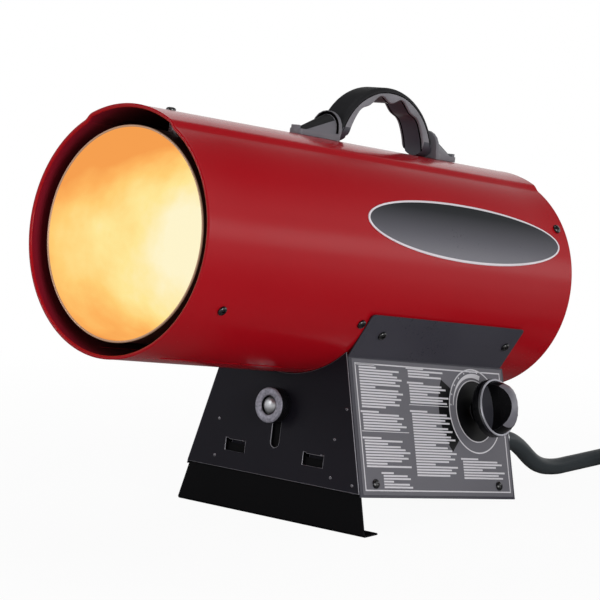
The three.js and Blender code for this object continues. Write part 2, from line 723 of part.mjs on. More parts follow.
// A bracket in front of one leg: an upright plate, a rib that slopes down to the tip, and a flange.
function handleBracket(side) {
  const near = HANDLE_Y + side * (GRIP.half - 1.5);
  const far = near + side * FOOT.plate;
  const tip = HANDLE_Y + side * FOOT.reach;
  const plate = archOutline(FOOT.plateHalf, CROWN_TOP + FOOT.plateTop);
  const rib = archOutline(FOOT.rib, CROWN_TOP + FOOT.plateTop - 3);
  const nose = archOutline(FOOT.tip - 1.5, CROWN_TOP + FOOT.flange + 0.5);
  const upright = slabY(outline(plate), Math.min(near, far), Math.max(near, far));
  const slope = lofted(rib, nose, far - side, tip - side * 4);

  const flange = new THREE.Shape();
  flange.moveTo(-FOOT.plateHalf, near);
  flange.lineTo(-FOOT.plateHalf, far);
  flange.quadraticCurveTo(-FOOT.tip, far + side * 14, -FOOT.tip, tip - side * 5);
  flange.quadraticCurveTo(-FOOT.tip, tip, 0, tip);
  flange.quadraticCurveTo(FOOT.tip, tip, FOOT.tip, tip - side * 5);
  flange.quadraticCurveTo(FOOT.tip, far + side * 14, FOOT.plateHalf, far);
  flange.lineTo(FOOT.plateHalf, near);
  const base = slabZ(flange, CROWN_TOP - 4, CROWN_TOP + FOOT.flange, { curveSegments: 5 });
  const tabY = [tip - side * 3.5, tip - side * 0.5].sort((a, b) => a - b);
  const tab = block([-4, tabY[0], CROWN_TOP - 4], [4, tabY[1], CROWN_TOP + FOOT.tab]);

  const room = outline(gripOuter(GAP, 24).map(([y, z]) => [HANDLE_Y + y, z]));
  const gripRoom = slabX(room, -FOOT.plateHalf - 1, FOOT.plateHalf + 1);
  return cut(join(upright, slope, base, tab), gripRoom, crownCut());
}

function buildHandle() {
  const e = GRIP.edge;
  const shape = outline([...gripOuter(0, 28), ...gripInner(50)]);
  const arch = extruded(
    shape,
    GRIP.width - 2 * e,
    FACING_X,
    new THREE.Vector3(-GRIP.width / 2 + e, HANDLE_Y, 0),
    { bevelEnabled: true, bevelSize: e, bevelThickness: e, bevelOffset: -e, bevelSegments: 2 },
  );

  // Seen along the shell, each leg ends in a half round that stands on the crown.
  const heel = GRIP.width / 2;
  const top = GRIP_Z + GRIP.height + 1;
  const tongue = outline([
    ...arc(0, CROWN_TOP - GAP + heel, heel, -Math.PI, 0, 12),
    [heel + 1, CROWN_TOP + heel],
    [heel + 1, top],
    [-heel - 1, top],
    [-heel - 1, CROWN_TOP + heel],
  ]);
  const trim = slabY(tongue, HANDLE_Y - GRIP.half - 1, HANDLE_Y + GRIP.half + 1);
  piece(heater, "handle_grip", cut(arch.intersect(trim), crownCut()), GREY_PLASTIC);
  piece(heater, "handle_front_bracket", handleBracket(-1), GREY_PLASTIC);
  piece(heater, "handle_rear_bracket", handleBracket(1), GREY_PLASTIC);
}

// ---------------------------------------------------------------- base

const aboveEdge = (up) => up - BASE_BOTTOM; // a height above the base's lower edge, from the axis
const CLAMP_DROP = -aboveEdge(CLAMP.up);
const WINDOW_TOP = -aboveEdge(WINDOW.up);
const baseHalf = (drop) => BASE_HALF - (BASE_BOTTOM - drop) * Math.tan(LEAN); // at a drop below the axis
const flangeScrewPlaces = [BASE_FRONT + 24.7, BASE_REAR - 20.6];
const coverScrewPlaces = [BASE_FRONT + 22.7, BASE_REAR - 23.6];
const COVER_SCREW_UP = 12;
const PANEL_TOP = SHELL_R * 0.6; // below the axis, inside the cut that the shell makes

// The leaning side's own axes: X along the shell, Y up the side, Z out of it.
function sideBasis(side) {
  const along = new THREE.Vector3(0, 1, 0);
  const up = new THREE.Vector3(-side * Math.sin(LEAN), 0, Math.cos(LEAN));
  const out = new THREE.Vector3(side * Math.cos(LEAN), 0, Math.sin(LEAN));
  return new THREE.Matrix4().makeBasis(along, up, out).setPosition(side * BASE_HALF, 0, -BASE_BOTTOM);
}

// Where the leaning side meets the top flange, measured up the side.
function bendHeight() {
  const n = [Math.sin(FLANGE_ANGLE), Math.cos(FLANGE_ANGLE)];
  const reach = SHELL_R + GAP + SHEET;
  const start = n[0] * BASE_HALF - n[1] * BASE_BOTTOM;
  const rate = -n[0] * Math.sin(LEAN) + n[1] * Math.cos(LEAN);
  return (reach - start) / rate;
}

function sideShell(side) {
  const basis = sideBasis(side);
  const up = bendHeight();
  const y0 = BASE_FRONT + SHEET + GAP;
  const y1 = BASE_REAR;
  const place = (shape, from, to) => {
    const geometry = new THREE.ExtrudeGeometry(shape, { depth: to - from, bevelEnabled: false, curveSegments: 4 });
    geometry.translate(0, 0, from);
    geometry.applyMatrix4(basis);
    return solidOf(geometry);
  };
  const wall = place(rectangle(y0, SHEET * Math.tan(LEAN), y1, up), -SHEET, 0);
  const frontReturn = place(rectangle(y0, 4, y0 + SHEET, up - 14), -RETURN, -SHEET / 2);
  const rearReturn = place(rectangle(y1 - SHEET, 4, y1, up - 14), -RETURN, -SHEET / 2);
  const inward = side * -LIP;
  const edge = side * BASE_HALF;
  const x = [edge - side * 0.6, edge + inward].sort((a, b) => a - b);
  const lip = block([x[0], LEG_Y + LEG.gauge + 3, -BASE_BOTTOM], [x[1], y1, -BASE_BOTTOM + SHEET]);

  // The top flange lies against the shell; its front and rear edges slant, and its corners are round.
  const out = new THREE.Vector3(side * Math.sin(FLANGE_ANGLE), 0, Math.cos(FLANGE_ANGLE));
  const rise = new THREE.Vector3(-side * Math.cos(FLANGE_ANGLE), 0, Math.sin(FLANGE_ANGLE));
  const flat = new THREE.Matrix4().makeBasis(Y, rise, out);
  flat.setPosition(out.clone().multiplyScalar(SHELL_R + GAP));
  const bendPoint = new THREE.Vector3(0, up, 0).applyMatrix4(basis);
  const low = bendPoint.dot(rise);
  const high = FLANGE.above;
  const c = FLANGE.corner;
  const corners = new THREE.Shape();
  corners.moveTo(y0, low);
  corners.lineTo(y1 - 4, low);
  corners.lineTo(y1 - 4 - FLANGE.taper + 0.6, high - c * 0.6);
  corners.quadraticCurveTo(y1 - 4 - FLANGE.taper, high, y1 - 4 - FLANGE.taper - c * 0.6, high);
  corners.lineTo(y0 - FLANGE.taper + c, high);
  corners.quadraticCurveTo(y0 - FLANGE.taper, high, y0 - FLANGE.taper + 0.8, high - c);
  const geometry = new THREE.ExtrudeGeometry(corners, { depth: SHEET, bevelEnabled: false, curveSegments: 4 });
  geometry.applyMatrix4(flat);
  const flange = solidOf(geometry);
  const bend = bar(SHEET / 2, [...bendPoint.clone().setY(y0)], [...bendPoint.clone().setY(y1 - 4)], 8);
  const holes = flangeScrewPlaces.map((y) => radialHole(side * FLANGE_ANGLE, y, SCREW.hole));
  const solid = cut(join(wall, lip, frontReturn, rearReturn, flange, bend), ...holes);
  const shellRoom = bar(SHELL_R + GAP - 0.05, [0, y0 - 9, 0], [0, y1 + 9, 0], 180);
  return { solid: cut(solid, shellRoom), basis };
}

function buildBase() {
  for (const side of [1, -1]) {
    const { solid, basis } = sideShell(side);
    let shape = solid;
    if (side > 0) {
      const at = (x, y, z) => [...new THREE.Vector3(x, y, z).applyMatrix4(basis)];
      const hole = bar(STEM.r + 2, at(DIAL.along, DIAL.up, -3), at(DIAL.along, DIAL.up, 3), 20);
      const screwHoles = coverScrewPlaces.map((y) =>
        bar(SCREW.hole, at(y, COVER_SCREW_UP, -3), at(y, COVER_SCREW_UP, 3), 10),
      );
      shape = cut(solid, hole, ...screwHoles);
    }
    piece(heater, side > 0 ? "side_cover" : "left_panel", shape, BLACK_ENAMEL);
    flangeScrewPlaces.forEach((y, i) => {
      const name = `flange_screw_${side > 0 ? "right" : "left"}_${i ? "rear" : "front"}`;
      piece(onShell(side * FLANGE_ANGLE, y, SHELL_R + GAP + SHEET), name, panScrew(), BLACK_ENAMEL);
    });
  }
  coverScrewPlaces.forEach((y, i) => {
    const group = sideGroup(y, COVER_SCREW_UP);
    piece(group, `cover_screw_${i ? "rear" : "front"}`, panScrew(), BLACK_ENAMEL);
  });

  const slanted = (low, high, inset) =>
    outline([
      [-baseHalf(low) + inset, -low],
      [baseHalf(low) - inset, -low],
      [baseHalf(high) - inset, -high],
      [-baseHalf(high) + inset, -high],
    ]);
  const saddle = bar(SHELL_R + 2 * GAP, [0, BASE_FRONT - 9, 0], [0, BASE_REAR + 9, 0], 120);

  // Front panel, with the clamp's slot and two lanced tabs that keep the leg against it.
  const panelLow = BASE_BOTTOM - PANEL_UP;
  const panel = slabY(slanted(panelLow, PANEL_TOP, 0.5), BASE_FRONT, BASE_FRONT + SHEET);
  const slotTop = -CLAMP_DROP + 2;
  const slotLow = -CLAMP_DROP - LEG.travel - 1;
  const s = CLAMP.slotHalf;
  const slotShape = outline([
    ...arc(0, slotTop, s, 0, Math.PI, 6),
    ...arc(0, slotLow, s, Math.PI, 2 * Math.PI, 6),
  ]);
  const slot = slabY(slotShape, BASE_FRONT - 1, BASE_FRONT + SHEET + 1);
  const sides = [-1, 1];
  const windows = sides.map((side) =>
    block(
      [side * WINDOW.x - WINDOW.width / 2, BASE_FRONT - 1, -WINDOW_TOP - WINDOW.height],
      [side * WINDOW.x + WINDOW.width / 2, BASE_FRONT + SHEET + 1, -WINDOW_TOP],
    ),
  );
  const hookY = LEG_Y + LEG.gauge + 2 * GAP;
  const tabs = sides.map((side) => {
    const profile = outline([
      [BASE_FRONT, -WINDOW_TOP + 0.5],
      [BASE_FRONT, -WINDOW_TOP - SHEET],
      [hookY, -WINDOW_TOP - SHEET],
      [hookY, -WINDOW_TOP - WINDOW.hook],
      [hookY + SHEET, -WINDOW_TOP - WINDOW.hook],
      [hookY + SHEET, -WINDOW_TOP],
      [BASE_FRONT + SHEET, -WINDOW_TOP],
      [BASE_FRONT + SHEET, -WINDOW_TOP + 0.5],
    ]);
    const x = side * WINDOW.x;
    return slabX(profile, x - WINDOW.tab / 2, x + WINDOW.tab / 2);
  });
  piece(heater, "front_panel", join(cut(panel, slot, ...windows, saddle), ...tabs), BLACK_ENAMEL);

  // Rear panel, inside the sides' rear flanges, with holes for the gas inlet, igniter and cord gland.
  const rearFace = BASE_REAR - SHEET - GAP;
  const inset = SHEET / Math.cos(LEAN) + GAP;
  const rear = slabY(slanted(BASE_BOTTOM - 2, PANEL_TOP, inset), rearFace - SHEET, rearFace);
  const hole = ({ x, up }, r) => bar(r, [x, rearFace - 4, aboveEdge(up)], [x, rearFace + 4, aboveEdge(up)], 20);
  const openings = [
    hole(INLET, INLET.boreR + GAP),
    hole(IGNITER, IGNITER.barrelR + GAP),
    hole(GLAND, GLAND.outerR - 2 + GAP),
  ];
  piece(heater, "rear_panel", cut(rear, saddle, ...openings), BLACK_ENAMEL);
}

// A group on the side cover's face at a place along the shell and up the side, Z pointing out.
function sideGroup(along, up) {
  const group = new THREE.Group();
  const basis = sideBasis(1);
  group.applyMatrix4(basis.clone().multiply(new THREE.Matrix4().makeTranslation(along, up, 0)));
  heater.add(group);
  return group;
}

// ---------------------------------------------------------------- leg and clamp

const LEG_Y = BASE_FRONT + 2 * SHEET + 2 * GAP + 0.1;
const LEG_TOP = -aboveEdge(LEG.up);
const footDrop = BASE_BOTTOM + (BASE_REAR - LEG_Y) * Math.tan(PITCH); // the leg's lowest line

function buildLeg() {
  const g = LEG.gauge;
  const c = Math.cos(PITCH);
  const s = Math.sin(PITCH);
  // The foot's sole lies on the ground, so it is folded by a right angle less the pitch.
  const sole = (d, lift) => [LEG_Y + 2 + d * c - lift * s, -footDrop + 2 * s + d * s + lift * c];
  const profile = outline([
    [LEG_Y, -LEG_TOP],
    [LEG_Y, -footDrop + 2.2],
    [LEG_Y + 0.6, -footDrop + 0.8],
    sole(0, 0),
    sole(LEG.foot, 0),
    sole(LEG.foot, g),
    sole(0.6, g),
    [LEG_Y + g, -footDrop + 3.4],
    [LEG_Y + g, -LEG_TOP],
  ]);
  const sheet = slabX(profile, -BASE_HALF - 30, BASE_HALF + 30);
  const inset = SHEET / Math.cos(LEAN) + LEG.inset;
  const low = footDrop + 4;
  const half = (drop) => baseHalf(drop) - inset;
  const corner = LEG.corner;
  const sides = new THREE.Shape();
  sides.moveTo(half(LEG_TOP), -LEG_TOP + 1);
  sides.lineTo(-half(LEG_TOP), -LEG_TOP + 1);
  sides.lineTo(-half(footDrop - corner), -footDrop + corner);
  sides.quadraticCurveTo(-half(footDrop), -footDrop, -half(footDrop) + corner * 0.8, -low);
  sides.lineTo(half(footDrop) - corner * 0.8, -low);
  sides.quadraticCurveTo(half(footDrop), -footDrop, half(footDrop - corner), -footDrop + corner);
  const trim = slabY(sides, LEG_Y - 5, LEG_Y + LEG.foot + 8);
  const side = (x) =>
    block(
      [x - WINDOW.tab / 2 - 2, LEG_Y - 3, -WINDOW_TOP - SHEET - 3],
      [x + WINDOW.tab / 2 + 2, LEG_Y + g + 3, -WINDOW_TOP + LEG.travel + 3],
    );
  const stud = bar(CLAMP.studR + GAP, [0, LEG_Y - 3, -CLAMP_DROP], [0, LEG_Y + g + 3, -CLAMP_DROP], 20);
  const leg = cut(sheet.intersect(trim), side(-WINDOW.x), side(WINDOW.x), stud);
  piece(heater, "front_leg", leg, BLACK_ENAMEL);

  const clamp = new THREE.Group();
  clamp.position.z = -CLAMP_DROP;
  heater.add(clamp);
  const face = BASE_FRONT - CLAMP.knobDepth;
  const floor = face + 4;
  const studTo = LEG_Y + g + 8;
  const seat = floor - GAP;
  const dome = arc(0, 0, 1, Math.PI / 2, 0, 5).map(([r, h]) => [r * CLAMP.domeR, seat - h * (seat - face)]);
  const bolt = turnedY([...dome, [CLAMP.studR, seat], [CLAMP.studR, studTo], [0, studTo]], 20);
  piece(clamp, "clamp_bolt", bolt, BRIGHT_STEEL);
  const bore = CLAMP.studR + GAP;
  const back = BASE_FRONT - GAP;
  const knob = turnedY(
    [
      [bore, floor],
      [CLAMP.recessR, floor],
      [CLAMP.recessR, face + 1.8],
      [CLAMP.knobR, face + 1.8],
      [CLAMP.knobR, back - 3],
      [CLAMP.knobR - 2, back],
      [bore, back],
      [bore, floor],
    ],
    24,
  );
  piece(clamp, "clamp_knob", knob, BLACK_PLASTIC);
  const ringBack = face + 1.8 - GAP;
  const ring = turnedY(
    [
      [CLAMP.recessR, face + 0.5],
      [CLAMP.recessR + 1, face],
      [CLAMP.knobR - 1, face],
      [CLAMP.knobR, face + 0.8],
      [CLAMP.knobR, ringBack],
      [CLAMP.recessR, ringBack],
      [CLAMP.recessR, face + 0.5],
    ],
    24,
  );
  piece(clamp, "clamp_knob_ring", ring, BRIGHT_STEEL);
  const nutFrom = LEG_Y + g + GAP;
  const nut = cut(bar(7.4, [0, nutFrom, 0], [0, nutFrom + 5, 0], 6), bar(bore, [0, nutFrom - 1, 0], [0, nutFrom + 6, 0], 20));
  piece(clamp, "clamp_nut", nut, BRIGHT_STEEL);
}

// ---------------------------------------------------------------- controls and gas path

function buildControls() {
  const dial = sideGroup(DIAL.along, DIAL.up);

  // Valve: a block with a round neck behind the cover, and ports for both pipes.
  const b = VALVE;
  const backFace = -SHEET - b.behind - b.deep;
  const body = block([-b.wide / 2, -b.tall / 2, backFace], [b.wide / 2, b.tall / 2, -SHEET - b.behind]);
  const neck = bar(9, [0, 0, -SHEET - b.behind - 1], [0, 0, -SHEET - GAP], 24);
  const deepBore = bar(STEM.r + GAP, [0, 0, -SHEET - b.behind - 8], [0, 0, 1], 20);
  piece(dial, "gas_valve", cut(join(body, neck), deepBore), BRASS);

  const stemFrom = -SHEET - b.behind - 8 + GAP;
  const shaft = bar(STEM.r, [0, 0, stemFrom], [0, 0, STEM.to], 20);
  const flatFrom = KNOB.hubFrom - KNOB.push - GAP; // so that the knob can be pushed in
  const flatCut = block([-6, STEM.r - 1.4, flatFrom], [6, STEM.r + 3, STEM.to + 1]);
  piece(dial, "valve_stem", cut(shaft, flatCut), BRASS);

  // Knob: a skirt with a raised rim, a domed grip bar across it, and a D-shaped bore for the stem.
  const k = KNOB;
  const dome = k.top - k.skirtTo + 3;
  const profile = [
    [0, k.hubFrom],
    [k.hubR, k.hubFrom],
    [k.hubR, k.skirtFrom + 1],
    [k.skirtR - 1, k.skirtFrom],
    [k.skirtR, k.skirtFrom + 1],
    [k.skirtR, k.skirtTo - 1],
    [k.skirtR - 1, k.skirtTo],
    [k.skirtR - 2.2, k.skirtTo - 1.5],
    ...arc(0, k.top - dome, 1, 0.12, Math.PI / 2, 6).map(([x, y]) => [
      x * (k.skirtR - 2.4),
      k.top - dome + (y - (k.top - dome)) * dome,
    ]),
  ];
  profile[profile.length - 1] = [0, k.top];
  const whole = turnedZ(profile, 32);
  const scoopR = 40;
  const waist = 4.6;
  const scoops = [-1, 1].map((side) => {
    const x = side * (waist + scoopR);
    return bar(scoopR, [x, 0, k.skirtTo - 2.5], [x, 0, k.top + 5], 36);
  });
  const bore = bar(STEM.r + GAP, [0, 0, k.hubFrom - 1], [0, 0, STEM.to + k.push + 1], 20);
  const land = block([-6, STEM.r - 1.4 + GAP, k.hubFrom - 2], [6, STEM.r + 4, STEM.to + k.push + 2]);
  piece(dial, "gas_knob", cut(whole, ...scoops, cut(bore, land)), BLACK_PLASTIC);

  // Igniter: a barrel through the rear panel, held by its bezel, with a push button in it.
  const i = IGNITER;
  const face = BASE_REAR - SHEET - GAP;
  const bezelTo = face + GAP + 3;
  const clear = i.buttonR + GAP;
  const cup = turnedY(
    [
      [0, face - i.barrel],
      [i.barrelR, face - i.barrel],
      [i.barrelR, face + GAP],
      [i.bezelR, face + GAP],
      [i.bezelR - 1, bezelTo],
      [clear, bezelTo],
      [clear, face - 14],
      [0, face - 14],
    ],
    24,
  );
  const igniter = new THREE.Group();
  igniter.position.set(i.x, 0, aboveEdge(i.up));
  heater.add(igniter);
  piece(igniter, "igniter_body", cup, BLACK_PLASTIC);
  const low = face - 14 + i.press + GAP;
  const button = turnedY(
    [
      [0, low],
      [i.buttonR, low],
      [i.buttonR, bezelTo + i.proud - 2],
      [i.buttonR - 2, bezelTo + i.proud],
      [0, bezelTo + i.proud],
    ],
    24,
  );
  piece(igniter, "igniter_button", button, BLACK_PLASTIC);

  // Gland of the mains inlet: a flanged bush with an open bore.
  const g = GLAND;
  const bush = turnedY(
    [
      [g.boreR, face - g.length],
      [g.outerR - 2, face - g.length],
      [g.outerR - 2, face + GAP],
      [g.outerR, face + GAP],
      [g.outerR - 0.8, face + GAP + 3],
      [g.boreR, face + GAP + 3],
      [g.boreR, face - g.length],
    ],
    20,
  );
  const gland = new THREE.Group();
  gland.position.set(g.x, 0, aboveEdge(g.up));
  heater.add(gland);
  piece(gland, "mains_gland", bush, BLACK_PLASTIC);
}

// A smooth tube along points, with its ends square to the path.
function tube(points, radius, steps, sides = 10) {
  const path = new THREE.CatmullRomCurve3(points.map((p) => new THREE.Vector3(...p)), false, "centripetal");
  const section = outline(arc(0, 0, radius, 0, 2 * Math.PI, sides).slice(0, -1));
  return solidOf(new THREE.ExtrudeGeometry(section, { steps, extrudePath: path, bevelEnabled: false }));
}

// The middle of the valve's block, and of its ports, in the heater's axes.
function valvePoint(x, y, z) {
  return new THREE.Vector3(DIAL.along + x, DIAL.up + y, z).applyMatrix4(sideBasis(1));
}

function buildPipes() {
  const depth = -SHEET - VALVE.behind - VALVE.deep / 2;
  const half = VALVE.wide / 2 + GAP;
  const out = valvePoint(-half, 0, depth);
  const jetEnd = CHAMBER_REAR - CHAMBER_WALL / 2 + 12 + GAP;
  const rise = PIPE_RISE_Y;
  const run = rise - jetEnd;
  const burnerPipe = tube(
    [
      [out.x, out.y, out.z],
      [out.x, out.y - 14, out.z],
      [out.x - 12, rise + 16, out.z - 1],
      [8, rise + 2, out.z + 3],
      [0, rise, -SHELL_R],
      [0, rise, -SHELL_R / 2],
      [0, rise - 0.04 * run, -14],
      [0, rise - 0.26 * run, -2],
      [0, jetEnd + 0.3 * run, 0],
      [0, jetEnd, 0],
    ],
    PIPE_R,
    28,
    8,
  );
  piece(heater, "burner_pipe", burnerPipe, BRASS);

  const into = valvePoint(half, 0, depth);
  const face = BASE_REAR - SHEET - GAP;
  const bulkhead = face - SHEET - GAP - 5;
  const inletPipe = tube(
    [
      [into.x, into.y, into.z],
      [into.x, into.y + 4, into.z],
      [INLET.x, bulkhead - 4 - GAP, aboveEdge(INLET.up)],
      [INLET.x, bulkhead - GAP, aboveEdge(INLET.up)],
    ],
    PIPE_R,
    12,
    8,
  );
  piece(heater, "inlet_pipe", inletPipe, BRASS);

  const inlet = new THREE.Group();
  inlet.position.set(INLET.x, 0, aboveEdge(INLET.up));
  heater.add(inlet);
  const hexFrom = face + GAP;
  const fitting = join(
    bar(INLET.boreR, [0, bulkhead, 0], [0, hexFrom + 1, 0], 24),
    bar(INLET.hexR, [0, hexFrom, 0], [0, hexFrom + INLET.hex, 0], 6),
  );
  piece(inlet, "gas_inlet", fitting, BRASS);
  const from = hexFrom + INLET.hex + GAP;
  const r = FERRULE.r;
  const ferrule = turnedY(
    [
      [0, from],
      [r, from],
      [r, from + FERRULE.length * 0.3],
      [r - 0.8, from + FERRULE.length * 0.4],
      [r - 0.8, from + FERRULE.length * 0.5],
      [r, from + FERRULE.length * 0.6],
      [r, from + FERRULE.length - 1],
      [r - 1, from + FERRULE.length],
      [0, from + FERRULE.length],
    ],
    20,
  );
  piece(inlet, "hose_ferrule", ferrule, BRIGHT_STEEL);
  return new THREE.Vector3(INLET.x, from + FERRULE.length + GAP, aboveEdge(INLET.up));
}

// ---------------------------------------------------------------- hose, coil and regulator

// The ground, below the point on the shell's axis at its front rim, in level axes.
const ground = new THREE.Vector3(0, BASE_REAR, -BASE_BOTTOM).applyAxisAngle(X, -PITCH).z;

// Centre line of the coil about its own middle: one turn inwards on the floor, half a turn that climbs,
// one turn outwards on top. Both ends leave on the same side.
function coilPoint(turns) {
  const out = COIL.middle + COIL.pitch / 2;
  const inn = COIL.middle - COIL.pitch / 2;
  const lerp = THREE.MathUtils.lerp;
  const ease = (t) => t * t * (3 - 2 * t);
  let r = out;
  let h = 0;
  if (turns <= 1) r = lerp(out, inn, turns);
  else if (turns <= 1.5) {
    r = inn;
    h = COIL.climb * ease((turns - 1) * 2);
  } else {
    r = lerp(inn, out, turns - 1.5);
    h = COIL.climb;
  }
  const a = Math.PI - turns * 2 * Math.PI;
  return new THREE.Vector3(r * Math.cos(a), r * Math.sin(a), h);
}

function buildHose(exit) {
  const start = exit.clone().applyAxisAngle(X, -PITCH);
  const lay = ground + HOSE_R + GAP;
  const down = new THREE.Vector3(0, Math.cos(PITCH), -Math.sin(PITCH));

  // Route after the exit, in level axes: forward along the floor, and how high above it.
  const free = [
    [-0.1, 10, 44.9],
    [-0.3, 19, 41.2],
    [-0.6, 27.5, 36.4],
    [-0.9, 35, 31.2],
    [-1.3, 42, 26],
    [-1.7, 49.5, 20.8],
    [-2.1, 58, 16.1],
    [-2.3, 68, 12.3],
    [-2.4, 80, 9.7],
    [-2.4, 94, 8.2],
    [-2.4, 112, HOSE_R + GAP],
    [-2.4, 150, HOSE_R + GAP],
    [-2.4, 190, HOSE_R + GAP],
  ];
  const points = free.map(([x, y, z]) => [start.x + x, start.y + y, ground + z]);
  const straight = start.clone().addScaledVector(down, 2);
  const entry = new THREE.Vector3(...points[points.length - 1]);
  entry.y += 2 * HOSE_R;
  const hose = tube(
    [[...start], [...straight], ...points, [...entry]],
    HOSE_R,
    26,
    10,
  );
  piece(part, "gas_hose", hose, RUBBER);

  // Coil: a straight diameter, its turns, and a straight diameter at the far end.
  const lead = 2 * HOSE_R;
  const outer = COIL.middle + COIL.pitch / 2;
  const middle = new THREE.Vector3(entry.x + outer, entry.y + GAP + lead, lay);
  const path = [new THREE.Vector3(-outer, -lead, 0), new THREE.Vector3(-outer, -lead / 2, 0)];
  const count = Math.round(2.5 * COIL.perTurn);
  for (let i = 0; i <= count; i++) path.push(coilPoint((2.5 * i) / count));
  path.push(new THREE.Vector3(outer, -lead / 2, COIL.climb), new THREE.Vector3(outer, -lead, COIL.climb));
  const { solid, gap, length } = woundTube(path, HOSE_R, COIL.sides);
  console.log(`hose_coil: ${length.toFixed(0)} mm of hose, least gap to itself ${gap.toFixed(2)} mm`);
  const coil = new THREE.Group();
  coil.position.copy(middle);
  part.add(coil);
  piece(coil, "hose_coil", solid, RUBBER);
  buildRegulator(coil, new THREE.Vector3(outer, -lead - GAP, COIL.climb));
}

// One unbroken tube through every point of a path, its sides kept level, and its least gap to itself.
function woundTube(path, radius, sides) {
  const positions = [];
  const index = [];
  const last = path.length - 1;
  const centres = [];
  path.forEach((p, i) => {
    const t = path[Math.min(i + 1, last)].clone().sub(path[Math.max(i - 1, 0)]).normalize();
    const side = new THREE.Vector3().crossVectors(t, Z).normalize();
    const up = new THREE.Vector3().crossVectors(side, t);
    for (let j = 0; j < sides; j++) {
      const a = ((j + 0.5) * 2 * Math.PI) / sides;
      const q = p.clone().addScaledVector(side, radius * Math.cos(a)).addScaledVector(up, radius * Math.sin(a));
      positions.push(q.x, q.y, q.z);
    }
    centres.push(p);
  });
  for (let i = 0; i < last; i++)
    for (let j = 0; j < sides; j++) {
      const k = (j + 1) % sides;
      const a = i * sides;
      const b = a + sides;
      index.push(a + j, b + j, b + k, a + j, b + k, a + k);
    }
  for (let j = 1; j < sides - 1; j++) {
    index.push(0, j, j + 1);
    index.push(last * sides, last * sides + j + 1, last * sides + j);
  }
  let length = 0;
  let gap = Infinity;
  const along = [0];
  for (let i = 1; i <= last; i++) along.push(along[i - 1] + centres[i].distanceTo(centres[i - 1]));
  length = along[last];
  for (let i = 0; i <= last; i++)
    for (let j = i + 1; j <= last; j++)
      if (along[j] - along[i] > 6 * radius) gap = Math.min(gap, centres[i].distanceTo(centres[j]) - 2 * radius);
  const geometry = new THREE.BufferGeometry();
  geometry.setAttribute("position", new THREE.Float32BufferAttribute(positions, 3));
  geometry.setIndex(index);
  return { solid: solidOf(geometry), gap, length };
}

// Tank regulator on the hose's far end: a round body standing on its edge, and a nut turned by hand.
function buildRegulator(coil, from) {
  const R = REGULATOR;
  const group = new THREE.Group();
  group.position.copy(from);
  group.rotation.z = Math.PI; // the hose's end comes in along +Y of this group
  coil.add(group);
  const barb = bar(R.neckR, [0, 0, 0], [0, R.neck, 0], 20);
  const middle = R.neck + R.discR - 3;
  const disc = join(
    bar(R.discR, [-R.disc / 2, middle, 0], [R.disc / 4, middle, 0], 28),
    bar(R.discR - 5, [0, middle, 0], [R.disc / 2, middle, 0], 24),
  );
  const to = middle + R.discR - 3;
  const neckEnd = to + 16 + R.nut;
  const neck = bar(R.neckR - 2, [0, to - 4, 0], [0, neckEnd, 0], 20);
  const collar = bar(R.neckR + 2, [0, to - 4, 0], [0, to + 10, 0], 6);
  const keeper = bar(R.neckR + 1, [0, neckEnd - 6, 0], [0, neckEnd, 0], 20);
  piece(group, "regulator", join(barb, disc, neck, collar, keeper), BRIGHT_STEEL);

  const nutFrom = to + 10 + GAP;
  const nutTo = neckEnd - 6 - GAP;
  const lobed = new THREE.Shape(
    Array.from({ length: R.lobes * 4 }, (_, i) => {
      const a = (i * 2 * Math.PI) / (R.lobes * 4);
      const r = R.nutR - (i % 4 < 2 ? 0 : 2);
      return new THREE.Vector2(r * Math.cos(a), r * Math.sin(a));
    }),
  );
  const nut = slabY(lobed, nutFrom, nutTo);
  const bore = bar(R.neckR - 2 + GAP, [0, nutFrom - 1, 0], [0, nutTo + 1, 0], 24);
  piece(group, "tank_nut", cut(nut, bore), BLACK_PLASTIC);
}

// ---------------------------------------------------------------- assembly

buildShell();
buildChamber();
buildBurner();
buildFan();
buildSpider();
buildGuard();
buildHandle();
buildBase();
buildLeg();
buildControls();
const hoseExit = buildPipes();

// The origin lies on the ground under the middle of the heater itself, without its hose.
part.updateMatrixWorld(true);
const extent = new THREE.Box3().setFromObject(heater, true);
buildHose(hoseExit);
const root = new THREE.Group();
root.add(part);
part.position.set(-(extent.min.x + extent.max.x) / 2, -(extent.min.y + extent.max.y) / 2, -extent.min.z);

export default root;
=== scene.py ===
import json
import math
from contextlib import contextmanager

import bmesh
import bpy
import numpy as np
from mathutils import Matrix, Vector

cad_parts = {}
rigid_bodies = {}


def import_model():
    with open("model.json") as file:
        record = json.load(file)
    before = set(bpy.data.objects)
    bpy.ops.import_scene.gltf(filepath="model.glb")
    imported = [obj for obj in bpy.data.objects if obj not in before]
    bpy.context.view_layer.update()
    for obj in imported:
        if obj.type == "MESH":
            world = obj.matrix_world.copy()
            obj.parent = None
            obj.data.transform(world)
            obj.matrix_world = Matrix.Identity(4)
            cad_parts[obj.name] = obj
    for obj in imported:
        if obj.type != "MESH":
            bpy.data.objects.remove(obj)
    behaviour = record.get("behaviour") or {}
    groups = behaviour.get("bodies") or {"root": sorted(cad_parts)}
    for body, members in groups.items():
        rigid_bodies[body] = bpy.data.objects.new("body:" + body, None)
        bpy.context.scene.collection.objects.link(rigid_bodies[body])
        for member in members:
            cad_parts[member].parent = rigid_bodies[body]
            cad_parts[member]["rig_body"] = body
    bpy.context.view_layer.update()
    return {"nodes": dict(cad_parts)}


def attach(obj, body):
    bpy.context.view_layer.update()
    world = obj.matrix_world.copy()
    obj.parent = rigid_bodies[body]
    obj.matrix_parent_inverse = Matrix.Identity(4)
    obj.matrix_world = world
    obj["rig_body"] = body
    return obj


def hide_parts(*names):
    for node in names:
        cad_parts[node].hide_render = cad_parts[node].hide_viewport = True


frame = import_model()
NODES = frame["nodes"]

